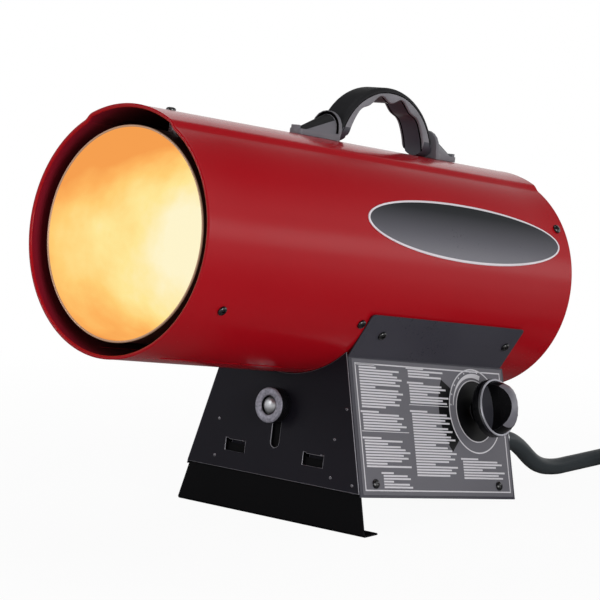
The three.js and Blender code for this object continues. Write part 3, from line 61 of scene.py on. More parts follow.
# ---------------------------------------------------------------- the heater's own axes

PITCH = math.radians(8.5)  # the tube rises this much towards its outlet
OFFSET = Vector((-7.8992, -245.4607, 260.4055))  # mm, where the tube's axis meets its front rim
BODY = Matrix.Translation(OFFSET * 0.001) @ Matrix.Rotation(-PITCH, 4, "X") @ Matrix.Scale(0.001, 4)

# Sizes in millimetres, from the part's source; places are given from the tube's axis and its front rim.
SHELL_R, SHELL_LENGTH = 101.5, 496.0
CROWN_RISE, CROWN_HALF, CROWN_STEP = 2.5, math.radians(25.5), math.radians(5)
HANDLE_Y = 310.5
LEAN = math.radians(15.6)  # how far the side cover leans in from upright
BASE_HALF, BASE_BOTTOM, BASE_FRONT, BASE_REAR = 102.0, 196.4, 223.3, 447.6
DIAL = (399.0, 79.5)  # the gas knob on the side cover, along and up


def smooth(t):
    """Eases from 0 to 1."""
    return t * t * (3 - 2 * t)


def shell_radius(angle):
    """The shell's radius at an angle from its crown: a raised band, a short step, then the plain tube."""
    a = abs(math.atan2(math.sin(angle), math.cos(angle)))
    t = min(1.0, max(0.0, (CROWN_HALF + CROWN_STEP - a) / CROWN_STEP))
    return SHELL_R + CROWN_RISE * smooth(t)


def on_shell(degrees, y, lift=0.0):
    """Axes on the shell, at an angle from its crown: +Z points out, +Y runs back along it."""
    angle = math.radians(degrees)
    r = shell_radius(angle) + lift
    place = Matrix.Translation((r * math.sin(angle), y, r * math.cos(angle)))
    return BODY @ place @ Matrix.Rotation(angle, 4, "Y")


def on_side(along, up):
    """Axes on the leaning side cover: +X back along it, +Y up it, +Z out of it."""
    n = Vector((math.cos(LEAN), 0, math.sin(LEAN)))
    u = Vector((-math.sin(LEAN), 0, math.cos(LEAN)))
    at = Vector((BASE_HALF, along, -BASE_BOTTOM)) + u * up
    m = Matrix(((0, u.x, n.x, at.x), (1, u.y, n.y, at.y), (0, u.z, n.z, at.z), (0, 0, 0, 1)))
    return BODY @ m


def add_object(name, data):
    obj = bpy.data.objects.new(name, data)
    bpy.context.scene.collection.objects.link(obj)
    return obj


# ---------------------------------------------------------------- camera

FOCAL, PICTURE = 2409.33, 600  # focal length and picture width, in pixels
SENSOR = 36.0  # mm
CAMERA_PLACE = (
    (0.749584, -0.102013, 0.654001, 1.366952),
    (0.661452, 0.078747, -0.745842, -1.587823),
    (0.024585, 0.991661, 0.126504, 0.454098),
    (0, 0, 0, 1),
)


def add_camera():
    data = bpy.data.cameras.new("camera")
    data.sensor_width = SENSOR
    data.lens = FOCAL / PICTURE * SENSOR
    data.clip_end = 50.0
    camera = add_object("camera", data)
    camera.matrix_world = Matrix(CAMERA_PLACE)
    bpy.context.scene.camera = camera


add_camera()

# ---------------------------------------------------------------- node materials


class Tree:
    """A small builder for the node tree of a material or of the world."""

    def __init__(self, owner):
        owner.use_nodes = True
        self.tree = owner.node_tree
        self.tree.nodes.clear()

    def node(self, kind, **settings):
        n = self.tree.nodes.new("ShaderNode" + kind)
        for key, value in settings.items():
            setattr(n, key, value)
        return n

    def link(self, a, b):
        self.tree.links.new(a, b)

    def range(self, source, a, b, c, d):
        """Maps a to b onto c to d, and holds the ends."""
        r = self.node("MapRange")
        for key, value in zip(("From Min", "From Max", "To Min", "To Max"), (a, b, c, d)):
            r.inputs[key].default_value = value
        self.link(source, r.inputs["Value"])
        return r.outputs[0]

    def math(self, op, a, b=0.0, clamp=False):
        m = self.node("Math", operation=op, use_clamp=clamp)
        for i, value in enumerate((a, b)):
            if hasattr(value, "is_output"):
                self.link(value, m.inputs[i])
            else:
                m.inputs[i].default_value = value
        return m.outputs[0]


class Shader(Tree):
    """A material on the principled shader."""

    def __init__(self, name):
        self.material = bpy.data.materials.new(name)
        super().__init__(self.material)
        out = self.node("OutputMaterial")
        self.bsdf = self.node("BsdfPrincipled")
        self.link(self.bsdf.outputs[0], out.inputs[0])
        self.coord = self.node("TexCoord").outputs["Object"]

    def set(self, **values):
        for key, value in values.items():
            self.bsdf.inputs[key.replace("_", " ")].default_value = value

    def noise(self, scale, detail, rough=0.55, stretch=None, vector=None):
        n = self.node("TexNoise")
        n.inputs["Scale"].default_value = scale
        n.inputs["Detail"].default_value = detail
        n.inputs["Roughness"].default_value = rough
        source = vector or self.coord
        if stretch is not None:
            m = self.node("Mapping")
            m.inputs["Scale"].default_value = stretch
            self.link(source, m.inputs["Vector"])
            source = m.outputs[0]
        self.link(source, n.inputs["Vector"])
        return n.outputs["Fac"]

    def ramp(self, source, stops):
        r = self.node("ValToRGB")
        e = r.color_ramp.elements
        while len(e) < len(stops):
            e.new(0.5)
        for element, (position, color) in zip(e, stops):
            element.position = position
            element.color = (*color, 1)
        self.link(source, r.inputs[0])
        return r.outputs[0]

    def bump(self, height, distance):
        b = self.node("Bump")
        b.inputs["Strength"].default_value = 0.5
        b.inputs["Distance"].default_value = distance
        self.link(height, b.inputs["Height"])
        self.link(b.outputs[0], self.bsdf.inputs["Normal"])

    def body(self):
        """Object coordinates turned into the heater's own axes, in metres: the vector and its parts."""
        m = self.node("Mapping")
        m.inputs["Rotation"].default_value = (PITCH, 0, 0)
        shift = Matrix.Rotation(PITCH, 3, "X") @ (OFFSET * 0.001)
        m.inputs["Location"].default_value = -shift
        self.link(self.coord, m.inputs["Vector"])
        split = self.node("SeparateXYZ")
        self.link(m.outputs[0], split.inputs[0])
        return m.outputs[0], split.outputs


def linear(r, g, b):
    """An sRGB colour given in 0 to 255 as linear values."""
    return tuple(((v / 255 + 0.055) / 1.055) ** 2.4 if v > 10 else v / 255 / 12.92 for v in (r, g, b))


SMOOTHEST, GLOSS_DOWN, GLOSS_UP = 0.03, 0.06, 0.07  # the least roughness, and how far it varies


def surface(name, color, rough, metal=0.0, coat=0.0, grain=900, grain_depth=0.0, tone=0.12, patch=9.0,
            stretch=None, specular=0.5):
    """A finish with slow tone changes, uneven gloss and a fine grain."""
    s = Shader(name)
    slow = s.noise(patch, 5.0)
    fine = s.noise(grain, 3.0, stretch=stretch)
    dark = tuple(c * (1 - tone) for c in color)
    light = tuple(min(1.0, c * (1 + tone)) for c in color)
    s.link(s.ramp(slow, [(0.3, dark), (0.7, light)]), s.bsdf.inputs["Base Color"])
    blend = s.math("ADD", s.math("MULTIPLY", slow, 0.6), s.math("MULTIPLY", fine, 0.4))
    gloss = s.range(blend, 0.3, 0.7, max(SMOOTHEST, rough - GLOSS_DOWN), rough + GLOSS_UP)
    s.link(gloss, s.bsdf.inputs["Roughness"])
    s.set(Metallic=metal, Coat_Weight=coat, Coat_Roughness=0.08, Specular_IOR_Level=specular)
    if grain_depth:
        s.bump(fine, grain_depth)
    return s


# Enamel
RED = surface("red_enamel", linear(164, 12, 24), 0.21, grain=420, tone=0.03, patch=5, specular=0.14)
BLACK = surface("black_enamel", linear(29, 28, 35), 0.45, grain=520, grain_depth=0.00001, specular=0.07)
COVER = surface("cover_enamel", linear(62, 61, 69), 0.3, grain=520, tone=0.06, specular=0.12)
LEG_BLACK = surface("leg_enamel", linear(9, 9, 11), 0.5, grain=520, grain_depth=0.00001, tone=0.15,
                    specular=0.04)
# Pale finish for the base panels' eased edges: a painted highlight.
EDGE_HIGHLIGHT = surface("painted_edge_highlight", linear(138, 137, 144), 0.35, metal=0.3, grain=300, tone=0.3)

# Plastic and rubber
PLASTIC = surface("black_plastic", linear(14, 14, 16), 0.3, tone=0.15, specular=0.25)
SCREW = surface("screw_black", linear(10, 10, 12), 0.2, tone=0.15, specular=0.7)
KNOB = surface("knob_plastic", linear(9, 9, 11), 0.18, tone=0.1, specular=0.12)
# Grey on the black knob's left scoop and eased edges: a painted reflection and painted highlight lines.
KNOB_REFLECTION_GREY = surface("knob_painted_reflection", linear(46, 46, 52), 0.2, tone=0.08, specular=0.3)
# Light grey on the knob's bar and right scoop: a painted highlight on black plastic.
KNOB_HIGHLIGHT = surface("knob_painted_highlight", linear(112, 111, 119), 0.34, tone=0.1, patch=90)
KNOB_RIM = surface("knob_rim", linear(150, 150, 158), 0.3, metal=0.3, grain=500, grain_depth=0.00001,
                   tone=0.1)
# Grey on the sides of the black plastic grip: painted light on its lit side.
HANDLE_LIT_GREY = surface("handle_painted_lit_grey", linear(116, 115, 121), 0.4, grain=1500, grain_depth=0.00003, tone=0.14,
                      patch=60, specular=0.35)
# Black rubber strap of the grip; on the brackets' rib tops it is painted shade.
GRIP_TOP_AND_RIB_SHADE = surface("grip_rubber_and_rib_shade", linear(33, 33, 35), 0.55, grain=1100, grain_depth=0.00006, specular=0.1)
# Darker grey on the grip's underside pad and leg ends: painted shade.
HANDLE_PAD_SHADE = surface("inner_pad_painted_shade", linear(60, 60, 68), 0.34, grain_depth=0.00002, specular=0.3)
# Black in the grip's grooves and in the brackets' recesses: painted shade.
PAINTED_GROOVE_SHADE = surface("groove", linear(10, 9, 12), 0.6, tone=0.1, specular=0.05)
# Grey on the black plastic brackets: painted light on their lit faces.
BRACKET_LIT_GREY = surface("bracket_painted_lit_grey", linear(106, 105, 111), 0.42, grain=1300, grain_depth=0.00005,
                  specular=0.25)
RUBBER = surface("hose_rubber", linear(52, 57, 60), 0.45, grain_depth=0.00004, specular=0.3)
RED_PLASTIC = surface("red_plastic", linear(150, 22, 22), 0.35, grain=700, grain_depth=0.00001, tone=0.1)

# Metal and ceramic
STEEL = surface("bright_steel", (0.62, 0.63, 0.65), 0.28, metal=1.0, grain=700, grain_depth=0.00001,
                tone=0.08, stretch=(1, 12, 1))
RING = surface("cast_ring", linear(138, 137, 148), 0.5, metal=0.5, grain=500, grain_depth=0.0004, tone=0.4,
               patch=420)
CLINCH = surface("clinch", linear(128, 126, 132), 0.25, metal=0.8, grain=500, tone=0.2)
BRASS = surface("brass", (0.68, 0.5, 0.22), 0.3, metal=1.0, grain=500, grain_depth=0.00001)
ZINC = surface("zinc", (0.5, 0.51, 0.53), 0.42, metal=0.9, grain=600, grain_depth=0.00005)
SCORCHED = surface("scorched_steel", (0.16, 0.09, 0.07), 0.5, metal=0.7, grain=300, grain_depth=0.00004,
                   tone=0.3)
CERAMIC = surface("ceramic", (0.82, 0.79, 0.72), 0.25, coat=0.5, grain=300, grain_depth=0.00001, tone=0.05)

# Label and print, and the gas knob's painted shadow
LABEL = surface("label_sheet", linear(103, 102, 108), 0.45, grain=700, tone=0.05, patch=14, specular=0.1)
PRINT = surface("pale_print", linear(206, 204, 209), 0.45, tone=0.05, specular=0.2)
# Dark on the label beside and under the gas knob: the knob's painted shadow.
PAINTED_KNOB_SHADOW = surface("painted_knob_shadow", linear(12, 12, 14), 0.4, tone=0.1, specular=0.08)


def glow_material():
    """Hot chamber steel: orange at the mouth, pale yellow where the flame lights it, with soft mottling."""
    s = Shader("glowing_chamber")
    vector, axes = s.body()
    depth = s.range(axes[1], 0.0, 0.15, 0.26, 1.0)
    cloud = s.noise(13, 4.0, 0.5, vector=vector)
    small = s.noise(40, 3.0, 0.6, vector=vector)
    drift = s.math("ADD", s.math("MULTIPLY", s.math("SUBTRACT", cloud, 0.5), 0.9),
                   s.math("MULTIPLY", s.math("SUBTRACT", small, 0.5), 0.2))
    high = s.math("MULTIPLY", s.math("ABSOLUTE", s.math("ADD", axes[2], 0.012)), 9.0)
    level = s.math("SUBTRACT", s.math("ADD", depth, drift), s.math("MULTIPLY", high, high), clamp=True)
    color = s.ramp(level, [
        (0.0, linear(246, 160, 80)),
        (0.2, linear(254, 180, 94)),
        (0.42, linear(255, 208, 118)),
        (0.65, linear(255, 232, 152)),
        (0.95, linear(255, 246, 206)),
    ])
    s.link(color, s.bsdf.inputs["Emission Color"])
    s.set(Base_Color=(0.02, 0.01, 0.005, 1), Emission_Strength=0.98, Roughness=0.7, Specular_IOR_Level=0.0)
    return s


def lining_material():
    """Inside of the shell: red enamel at the rim, darker and browner further in as painted shade."""
    s = surface("shell_lining_painted_shade", linear(60, 26, 24), 0.55, grain=500, grain_depth=0.00003, tone=0.3,
                specular=0.1)
    _, axes = s.body()
    # Painted shade: the red darkens the further it is from the rim.
    color = s.ramp(s.range(axes[1], 0.004, 0.07, 0.0, 1.0), [
        (0.0, linear(140, 20, 40)),
        (0.3, linear(108, 34, 38)),
        (1.0, linear(82, 50, 44)),
    ])
    s.link(color, s.bsdf.inputs["Base Color"])
    return s


def badge_material():
    """Printed oval: near black at its top edge, paler grey towards the bottom."""
    s = surface("badge_field", linear(60, 60, 66), 0.3, grain=300, tone=0.05, specular=0.1)
    _, axes = s.body()
    color = s.ramp(s.range(axes[2], 0.012, 0.064, 0.0, 1.0), [
        (0.0, linear(122, 121, 128)),
        (0.4, linear(88, 87, 94)),
        (0.8, linear(34, 36, 40)),
        (1.0, linear(16, 20, 22)),
    ])
    s.link(color, s.bsdf.inputs["Base Color"])
    return s


GLOW = glow_material()
SHELL_LINING_SHADE = lining_material()
BADGE_GREY = badge_material()
BADGE_RIM = surface("badge_rim", linear(222, 216, 222), 0.3, grain=600, grain_depth=0.00001, tone=0.04)
BEAD = surface("hot_rim", linear(170, 132, 110), 0.35, metal=0.3, grain=300, grain_depth=0.00003, tone=0.1)
BEAD.set(Emission_Strength=0.12, Emission_Color=(*linear(240, 200, 160), 1))

# ---------------------------------------------------------------- mesh helpers


@contextmanager
def editing(mesh, source=None):
    """A mesh as a bmesh that is written back at the end; it may start from another mesh."""
    bm = bmesh.new()
    bm.from_mesh(source or mesh)
    yield bm
    bm.to_mesh(mesh)
    bm.free()


def make_object(name, verts, faces, materials, matrix=None, smooth_angle=35.0):
    """A mesh object with its faces turned outward and its creases kept."""
    mesh = bpy.data.meshes.new(name)
    mesh.from_pydata([tuple(v) for v in verts], [], faces)
    if matrix is not None:
        mesh.transform(matrix)
    mesh.validate()
    obj = add_object(name, mesh)
    for m in materials if isinstance(materials, (list, tuple)) else [materials]:
        mesh.materials.append(m.material)
    with editing(mesh) as bm:
        bmesh.ops.recalc_face_normals(bm, faces=bm.faces)
    sharpen(mesh, smooth_angle)
    return obj


def sharpen(mesh, angle, flat_area=None):
    """Smooth shading, with edges sharper than the angle kept crisp, and wide plane faces left flat."""
    limit = math.radians(angle)
    with editing(mesh) as bm:
        for f in bm.faces:
            f.smooth = flat_area is None or f.calc_area() < flat_area
        for e in bm.edges:
            e.smooth = len(e.link_faces) == 2 and e.calc_face_angle(0.0) < limit


def apply_modifiers(obj):
    """Puts the modified mesh in the place of the first one."""
    deps = bpy.context.evaluated_depsgraph_get()
    mesh = bpy.data.meshes.new_from_object(obj.evaluated_get(deps))
    old = obj.data
    obj.modifiers.clear()
    obj.data = mesh
    bpy.data.meshes.remove(old)


def add_finish(obj, finish):
    """Adds a finish to an object and says its number."""
    obj.data.materials.append(finish.material)
    return len(obj.data.materials) - 1


def bevel(obj, width, segments, angle, edge=None):
    """Eases the edges that are sharper than an angle; they may have a finish of their own."""
    m = obj.modifiers.new("bevel", "BEVEL")
    if edge:
        m.material = add_finish(obj, edge)
    m.width = width
    m.segments = segments
    m.limit_method = "ANGLE"
    m.angle_limit = math.radians(angle)
    m.use_clamp_overlap = True
    apply_modifiers(obj)
    sharpen(obj.data, angle)


def boolean(obj, others, operation="DIFFERENCE", angle=35.0):
    """Cuts the others out of an object, or keeps what they share, and removes them."""
    for other in others:
        m = obj.modifiers.new("cut", "BOOLEAN")
        m.operation = operation
        m.solver = "EXACT"
        m.object = other
    apply_modifiers(obj)
    for other in others:
        bpy.data.objects.remove(other, do_unlink=True)
    sharpen(obj.data, angle)


def assign(obj, picks):
    """Gives each face the finish of its number, in the faces' order."""
    for poly, index in zip(obj.data.polygons, picks):
        poly.material_index = index


def ring_sweep(name, loop, radius_at, angles, materials, pick, angle=35.0):
    """A closed loop of (offset from the radius, along) swept round the heater's axis.

    pick gives the finish of each side of the loop.
    """
    verts, faces = [], []
    for a in angles:
        for offset, y in loop:
            r = radius_at(a) + offset
            verts.append((r * math.sin(a), y, r * math.cos(a)))
    n = len(loop)
    picks = []
    for i in range(len(angles)):
        j = (i + 1) % len(angles)
        for k in range(n):
            m = (k + 1) % n
            faces.append((i * n + k, j * n + k, j * n + m, i * n + m))
            picks.append(pick(k))
    obj = make_object(name, verts, faces, materials, BODY, angle)
    assign(obj, picks)
    return obj


def lathe(name, profile, material, matrix, sides=96, angle=35.0):
    """A profile of (radius, height) turned about +Z."""
    verts, faces = [], []
    closed = profile[0] == profile[-1]
    points = profile[:-1] if closed else profile
    n = len(points)
    rings = []
    for r, h in points:
        if r < 1e-6:
            rings.append([len(verts)])
            verts.append((0, 0, h))
        else:
            rings.append(list(range(len(verts), len(verts) + sides)))
            for i in range(sides):
                a = 2 * math.pi * i / sides
                verts.append((r * math.cos(a), r * math.sin(a), h))
    pairs = [(i, i + 1) for i in range(n - 1)] + ([(n - 1, 0)] if closed else [])
    for p, q in pairs:
        a, b = rings[p], rings[q]
        for i in range(sides):
            j = (i + 1) % sides
            if len(a) == 1 and len(b) == 1:
                continue
            if len(a) == 1:
                faces.append((a[0], b[i], b[j]))
            elif len(b) == 1:
                faces.append((a[i], b[0], a[j]))
            else:
                faces.append((a[i], a[j], b[j], b[i]))
    return make_object(name, verts, faces, material, matrix, angle)


def arc(cx, cy, r, start, end, steps):
    """Points of an arc from one angle to another."""
    angles = [start + (end - start) * i / steps for i in range(steps + 1)]
    return [(cx + r * math.cos(a), cy + r * math.sin(a)) for a in angles]


def tube_along(name, points, radius, material, sides=24):
    """A round tube through points, with parallel-carried sections."""
    pts = [Vector(p) for p in points]
    verts, faces = [], []
    side = None
    for i, p in enumerate(pts):
        t = (pts[min(i + 1, len(pts) - 1)] - pts[max(i - 1, 0)]).normalized()
        if side is None:
            side = t.orthogonal().normalized()
        side = (side - t * side.dot(t)).normalized()
        across = t.cross(side)
        for j in range(sides):
            a = 2 * math.pi * j / sides
            verts.append(p + (side * math.cos(a) + across * math.sin(a)) * radius)
    for i in range(len(pts) - 1):
        for j in range(sides):
            k = (j + 1) % sides
            a, b = i * sides, (i + 1) * sides
            faces.append((a + j, b + j, b + k, a + k))
    faces.append(tuple(range(sides)))
    faces.append(tuple(reversed(range((len(pts) - 1) * sides, len(pts) * sides))))
    return make_object(name, verts, faces, material)


def dress(node, material, width=0.0004, angle=35.0, segments=2, flat_area=None, edge=None):
    """A CAD node drawn again with its flat facets merged, its edges eased and its curves shaded smooth."""
    mesh = bpy.data.meshes.new(node + "_look")
    with editing(mesh, NODES[node].data) as bm:
        bmesh.ops.remove_doubles(bm, verts=bm.verts, dist=2e-6)
        bmesh.ops.dissolve_limit(bm, angle_limit=math.radians(0.3), verts=bm.verts, edges=bm.edges)
    obj = add_object(node + "_look", mesh)
    mesh.materials.append(material.material)
    if width:
        bevel(obj, width, segments, angle, edge)
    sharpen(obj.data, angle, flat_area)
    stand_for(obj, node)
    return obj


def seen_from(place):
    """What takes points and what takes normals into a place's own axes, in millimetres."""
    back = place.inverted()
    return back, back.to_3x3().normalized()


def paint(obj, finish, test, place=BODY):
    """Gives the finish to the faces whose middle and normal, seen from a place, pass a test."""
    index = add_finish(obj, finish)
    back, turn = seen_from(place)
    for f in obj.data.polygons:
        if test(back @ f.center, turn @ f.normal):
            f.material_index = index


def recess(obj, finish, width, depth, test):
    """Sinks the middle of the faces that pass a test and leaves a rim round them."""
    index = add_finish(obj, finish)
    back, turn = seen_from(BODY)
    with editing(obj.data) as bm:
        bm.normal_update()
        picked = [f for f in bm.faces if test(back @ f.calc_center_median(), turn @ f.normal)]
        bmesh.ops.inset_region(bm, faces=picked, thickness=width, depth=-depth, use_even_offset=True)
        for f in picked:
            f.material_index = index


def trim_on(obj, beside):
    """An added piece that rides with a CAD node and replaces nothing."""
    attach(obj, NODES[beside]["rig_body"])


def boxes(name, spans, material, matrix):
    """Several boxes, each given by two opposite corners, as one mesh."""
    verts, faces = [], []
    for (x0, y0, z0), (x1, y1, z1) in spans:
        n = len(verts)
        verts += [(x, y, z) for z in (z0, z1) for y in (y0, y1) for x in (x0, x1)]
        quads = [(0, 1, 3, 2), (4, 5, 7, 6), (0, 1, 5, 4), (2, 3, 7, 6), (0, 2, 6, 4), (1, 3, 7, 5)]
        faces += [tuple(n + k for k in q) for q in quads]
    return make_object(name, verts, faces, material, matrix)


def sector(name, inner, outer, start, end, z0, z1, material, matrix, grow=0.0, steps=48):
    """A flat arc between two angles; it may get wider towards its end."""
    verts, faces = [], []
    for i in range(steps + 1):
        f = i / steps
        a = start + (end - start) * f
        low, high = inner - grow * f, outer + grow * f
        for r, z in ((low, z0), (high, z0), (high, z1), (low, z1)):
            verts.append((r * math.cos(a), r * math.sin(a), z))
    for i in range(steps):
        for j in range(4):
            k = (j + 1) % 4
            faces.append((4 * i + j, 4 * i + 4 + j, 4 * i + 4 + k, 4 * i + k))
    faces += [(0, 1, 2, 3), (4 * steps + 3, 4 * steps + 2, 4 * steps + 1, 4 * steps)]
    return make_object(name, verts, faces, material, matrix)


def prism(name, outline, low, high, material, matrix):
    """An outline in X and Z drawn out along Y."""
    n = len(outline)
    verts = [(x, y, z) for y in (low, high) for x, z in outline]
    faces = [(j, (j + 1) % n, n + (j + 1) % n, n + j) for j in range(n)]
    faces += [tuple(range(n)), tuple(reversed(range(n, 2 * n)))]
    return make_object(name, verts, faces, material, matrix)


def stand_for(obj, *nodes):
    """A piece that rides with CAD nodes and replaces them."""
    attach(obj, NODES[nodes[0]]["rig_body"])
    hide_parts(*nodes)


# ---------------------------------------------------------------- hose, first because it settles the view

HOSE_R = 7.75
GAP = 0.3
HOSE_FIT = 0.995  # drawn this share of its size, just inside the solid
FERRULE_END = (62, 471.2, -145.5)
HOSE_FREE = (  # right and back from the ferrule, up from the floor
    (-0.1, 10, 44.9), (-0.3, 19, 41.2), (-0.6, 27.5, 36.4), (-0.9, 35, 31.2), (-1.3, 42, 26),
    (-1.7, 49.5, 20.8), (-2.1, 58, 16.1), (-2.3, 68, 12.3), (-2.4, 80, 9.7), (-2.4, 94, 8.2),
    (-2.4, 112, HOSE_R + GAP), (-2.4, 150, HOSE_R + GAP), (-2.4, 190, HOSE_R + GAP),
)
COIL_MIDDLE, COIL_PITCH, COIL_CLIMB, COIL_TURNS = 80.0, 19.0, 16.2, 2.5
COIL_OUT, COIL_IN = COIL_MIDDLE + COIL_PITCH / 2, COIL_MIDDLE - COIL_PITCH / 2
COIL_SAMPLES = 150


def hose_route():
    """The hose's route: its free stretch and its coil, in millimetres, level axes."""
    level = Matrix.Rotation(-PITCH, 4, "X")
    start = level @ Vector(FERRULE_END)
    ground = (level @ Vector((0, BASE_REAR, -BASE_BOTTOM))).z
    lay = ground + HOSE_R + GAP
    down = Vector((0, math.cos(PITCH), -math.sin(PITCH)))
    points = [start, start + down * 2]
    points += [Vector((start.x + x, start.y + y, ground + z)) for x, y, z in HOSE_FREE]
    entry = points[-1] + Vector((0, 2 * HOSE_R, 0))
    points.append(entry)
    lead = 2 * HOSE_R
    middle = Vector((entry.x + COIL_OUT, entry.y + GAP + lead, lay))
    coil = [Vector((-COIL_OUT, -lead, 0)), Vector((-COIL_OUT, -lead / 2, 0))]
    coil += [coil_point(COIL_TURNS * i / COIL_SAMPLES) for i in range(COIL_SAMPLES + 1)]
    coil += [Vector((COIL_OUT, -lead / 2, COIL_CLIMB)), Vector((COIL_OUT, -lead, COIL_CLIMB))]
    return points, [middle + p for p in coil]


def coil_point(turns):
    """The coil's path: in for a turn, up for half a turn, and out again on top of itself."""
    if turns <= 1:
        r, h = COIL_OUT + (COIL_IN - COIL_OUT) * turns, 0.0
    elif turns <= 1.5:
        r, h = COIL_IN, COIL_CLIMB * smooth((turns - 1) * 2)
    else:
        r, h = COIL_IN + (COIL_OUT - COIL_IN) * (turns - 1.5), COIL_CLIMB
    a = math.pi - turns * 2 * math.pi
    return Vector((r * math.cos(a), r * math.sin(a), h))


def between(a, b, low, high, u):
    """The point that is at a when u is low and at b when u is high."""
    return a * ((high - u) / (high - low)) + b * ((u - low) / (high - low))


def catmull(points, per):
    """Centripetal Catmull-Rom samples through points."""
    out = []
    p = [points[0] * 2 - points[1]] + list(points) + [points[-1] * 2 - points[-2]]
    for i in range(1, len(p) - 2):
        p0, p1, p2, p3 = p[i - 1 : i + 3]
        t = [0.0]
        for a, b in ((p0, p1), (p1, p2), (p2, p3)):
            t.append(t[-1] + max((b - a).length, 1e-6) ** 0.5)
        for s in range(per):
            u = t[1] + (t[2] - t[1]) * s / per
            a1 = between(p0, p1, t[0], t[1], u)
            a2 = between(p1, p2, t[1], t[2], u)
            a3 = between(p2, p3, t[2], t[3], u)
            b1 = between(a1, a2, t[0], t[2], u)
            b2 = between(a2, a3, t[1], t[3], u)
            out.append(between(b1, b2, t[1], t[2], u))
    out.append(points[-1])
    return out


free_points, coil_points = hose_route()
route = catmull(free_points, 5) + catmull(coil_points, 1)
route = [(p + OFFSET) * 0.001 for p in route]
hose = tube_along("hose", route, HOSE_R * 0.001 * HOSE_FIT, RUBBER)
stand_for(hose, "gas_hose", "hose_coil")

# ---------------------------------------------------------------- shell

RIM = 1.7  # radius of the rolled rims
VENTS = {"first": 32, "pitch": 52, "length": 45.6, "angle": 160}
VENT_HALF = {1: 1.5, -1: 0.4}  # the left vents are nearly closed here, so that no daylight shows in the mouth
PIPE_HOLE_Y, PIPE_HOLE_R = 317.8, 6  # where the gas enters the shell


def shell_angles(count):
    """Even steps round the shell, and finer ones where the crown band steps down."""
    even = [2 * math.pi * i / count - math.pi for i in range(count)]
    step = [s * (CROWN_HALF + CROWN_STEP * f) for s in (1, -1) for f in np.linspace(0, 1, 9)]
    keep = [a for a in even if not CROWN_HALF - 0.01 < abs(a) < CROWN_HALF + CROWN_STEP + 0.01]
    return sorted(keep + step)


def build_shell():
    """The tube with rolled rims, its vents and the hole for the gas pipe."""
    b = RIM
    front = arc(-b + 0.5, b, b, -0.6, -math.pi - 0.4, 12)
    rear = arc(-b + 0.5, SHELL_LENGTH - b, b, 0.6, math.pi + 0.4, 12)[::-1]
    outside = [(0, y) for y in np.linspace(2 * b, SHELL_LENGTH - 2 * b, 12)]
    inside = [(-1, y) for y in np.linspace(SHELL_LENGTH - 2 * b - 1, 2 * b + 1, 6)]
    loop = outside[::-1] + front + inside[::-1] + rear
    n_out, n_front = len(outside), len(front)
    inner = range(n_out + n_front - 3, n_out + n_front + len(inside) + 2)
    obj = ring_sweep("shell", loop, shell_radius, shell_angles(192), [RED, SHELL_LINING_SHADE],
                     lambda k: 1 if k in inner else 0, 40)
    cutters = []
    for side, half in VENT_HALF.items():
        place = BODY @ Matrix.Rotation(side * math.radians(VENTS["angle"]), 4, "Y")
        for i in range(3):
            y = VENTS["first"] + VENTS["pitch"] * i
            span = (-half, y, SHELL_R - 8), (half, y + VENTS["length"], SHELL_R + 4)
            cutters.append(boxes("cutter", [span], RED, place))
    place = BODY @ Matrix.Translation((0, PIPE_HOLE_Y, -SHELL_R))
    bore = [(0, -6), (PIPE_HOLE_R, -6), (PIPE_HOLE_R, 6), (0, 6)]
    cutters.append(lathe("cutter", bore, RED, place, 32))
    boolean(obj, cutters, angle=40)
    stand_for(obj, "outer_shell")


build_shell()


CHAMBER_R, CHAMBER_MOUTH, CHAMBER_LENGTH, CHAMBER_WALL, CHAMBER_BEAD = 87.0, 7.8, 252.0, 1.0, 0.9


def build_chamber():
    """The chamber's tube, with a bead round its mouth and its inside aglow."""
    mouth, rear, b = CHAMBER_MOUTH, CHAMBER_MOUTH + CHAMBER_LENGTH, CHAMBER_BEAD
    bead = arc(0, mouth + b, b, 0.5, -math.pi, 10)
    inside = [(-CHAMBER_WALL, y) for y in np.linspace(mouth + 2 * b + 1, rear, 10)]
    loop = [(0, mouth + 2 * b)] + bead + inside + [(0, rear)]
    hot = range(len(bead), len(bead) + len(inside))
    obj = ring_sweep("chamber", loop, lambda a: CHAMBER_R, [2 * math.pi * i / 160 for i in range(160)],
                     [SCORCHED, GLOW, BEAD], lambda k: 1 if k in hot else (2 if k < len(bead) else 0))
    stand_for(obj, "combustion_chamber")


build_chamber()
dress("chamber_rear_wall", GLOW, 0.0002)

# ---------------------------------------------------------------- handle

GRIP = {"half": 69.0, "height": 61.5, "z": 97.0, "width": 26.0, "leg": 14.5, "thick": 13.5, "turn": 2.3}
GROOVES = {"pitch": 30.0, "depth": 5.6, "side_pitch": 22.0, "side_depth": 2.2}
CROWN_TOP = SHELL_R + CROWN_RISE + GAP
RIB_TOP = 110.5  # the brackets' ribs get painted shade above this


def grip_ends(angle):
    """The arch's outer and inner point at an angle seen from the middle of its foot, as (y, z)."""
    c, s = math.cos(angle), math.sin(angle)
    outer = ((c / GRIP["half"]) ** 2 + (s / GRIP["height"]) ** 2) ** -0.5
    across, high = GRIP["half"] - GRIP["leg"], GRIP["height"] - GRIP["thick"]
    n = GRIP["turn"]
    inner = (abs(c / across) ** n + abs(s / high) ** n) ** (-1 / n)
    y = inner * c
    return (outer * c, outer * s), (y, inner * s + groove(abs(y)))


def groove(y):
    """Two grooves under the middle of the grip and a shallow one beside them at each end."""
    pitch, side = GROOVES["pitch"], GROOVES["side_pitch"]
    if y < pitch:
        return GROOVES["depth"] * (1 - math.cos(2 * math.pi * y / pitch)) / 2
    if y < pitch + side:
        return GROOVES["side_depth"] * (1 - math.cos(2 * math.pi * (y - pitch) / side)) / 2
    return 0.0


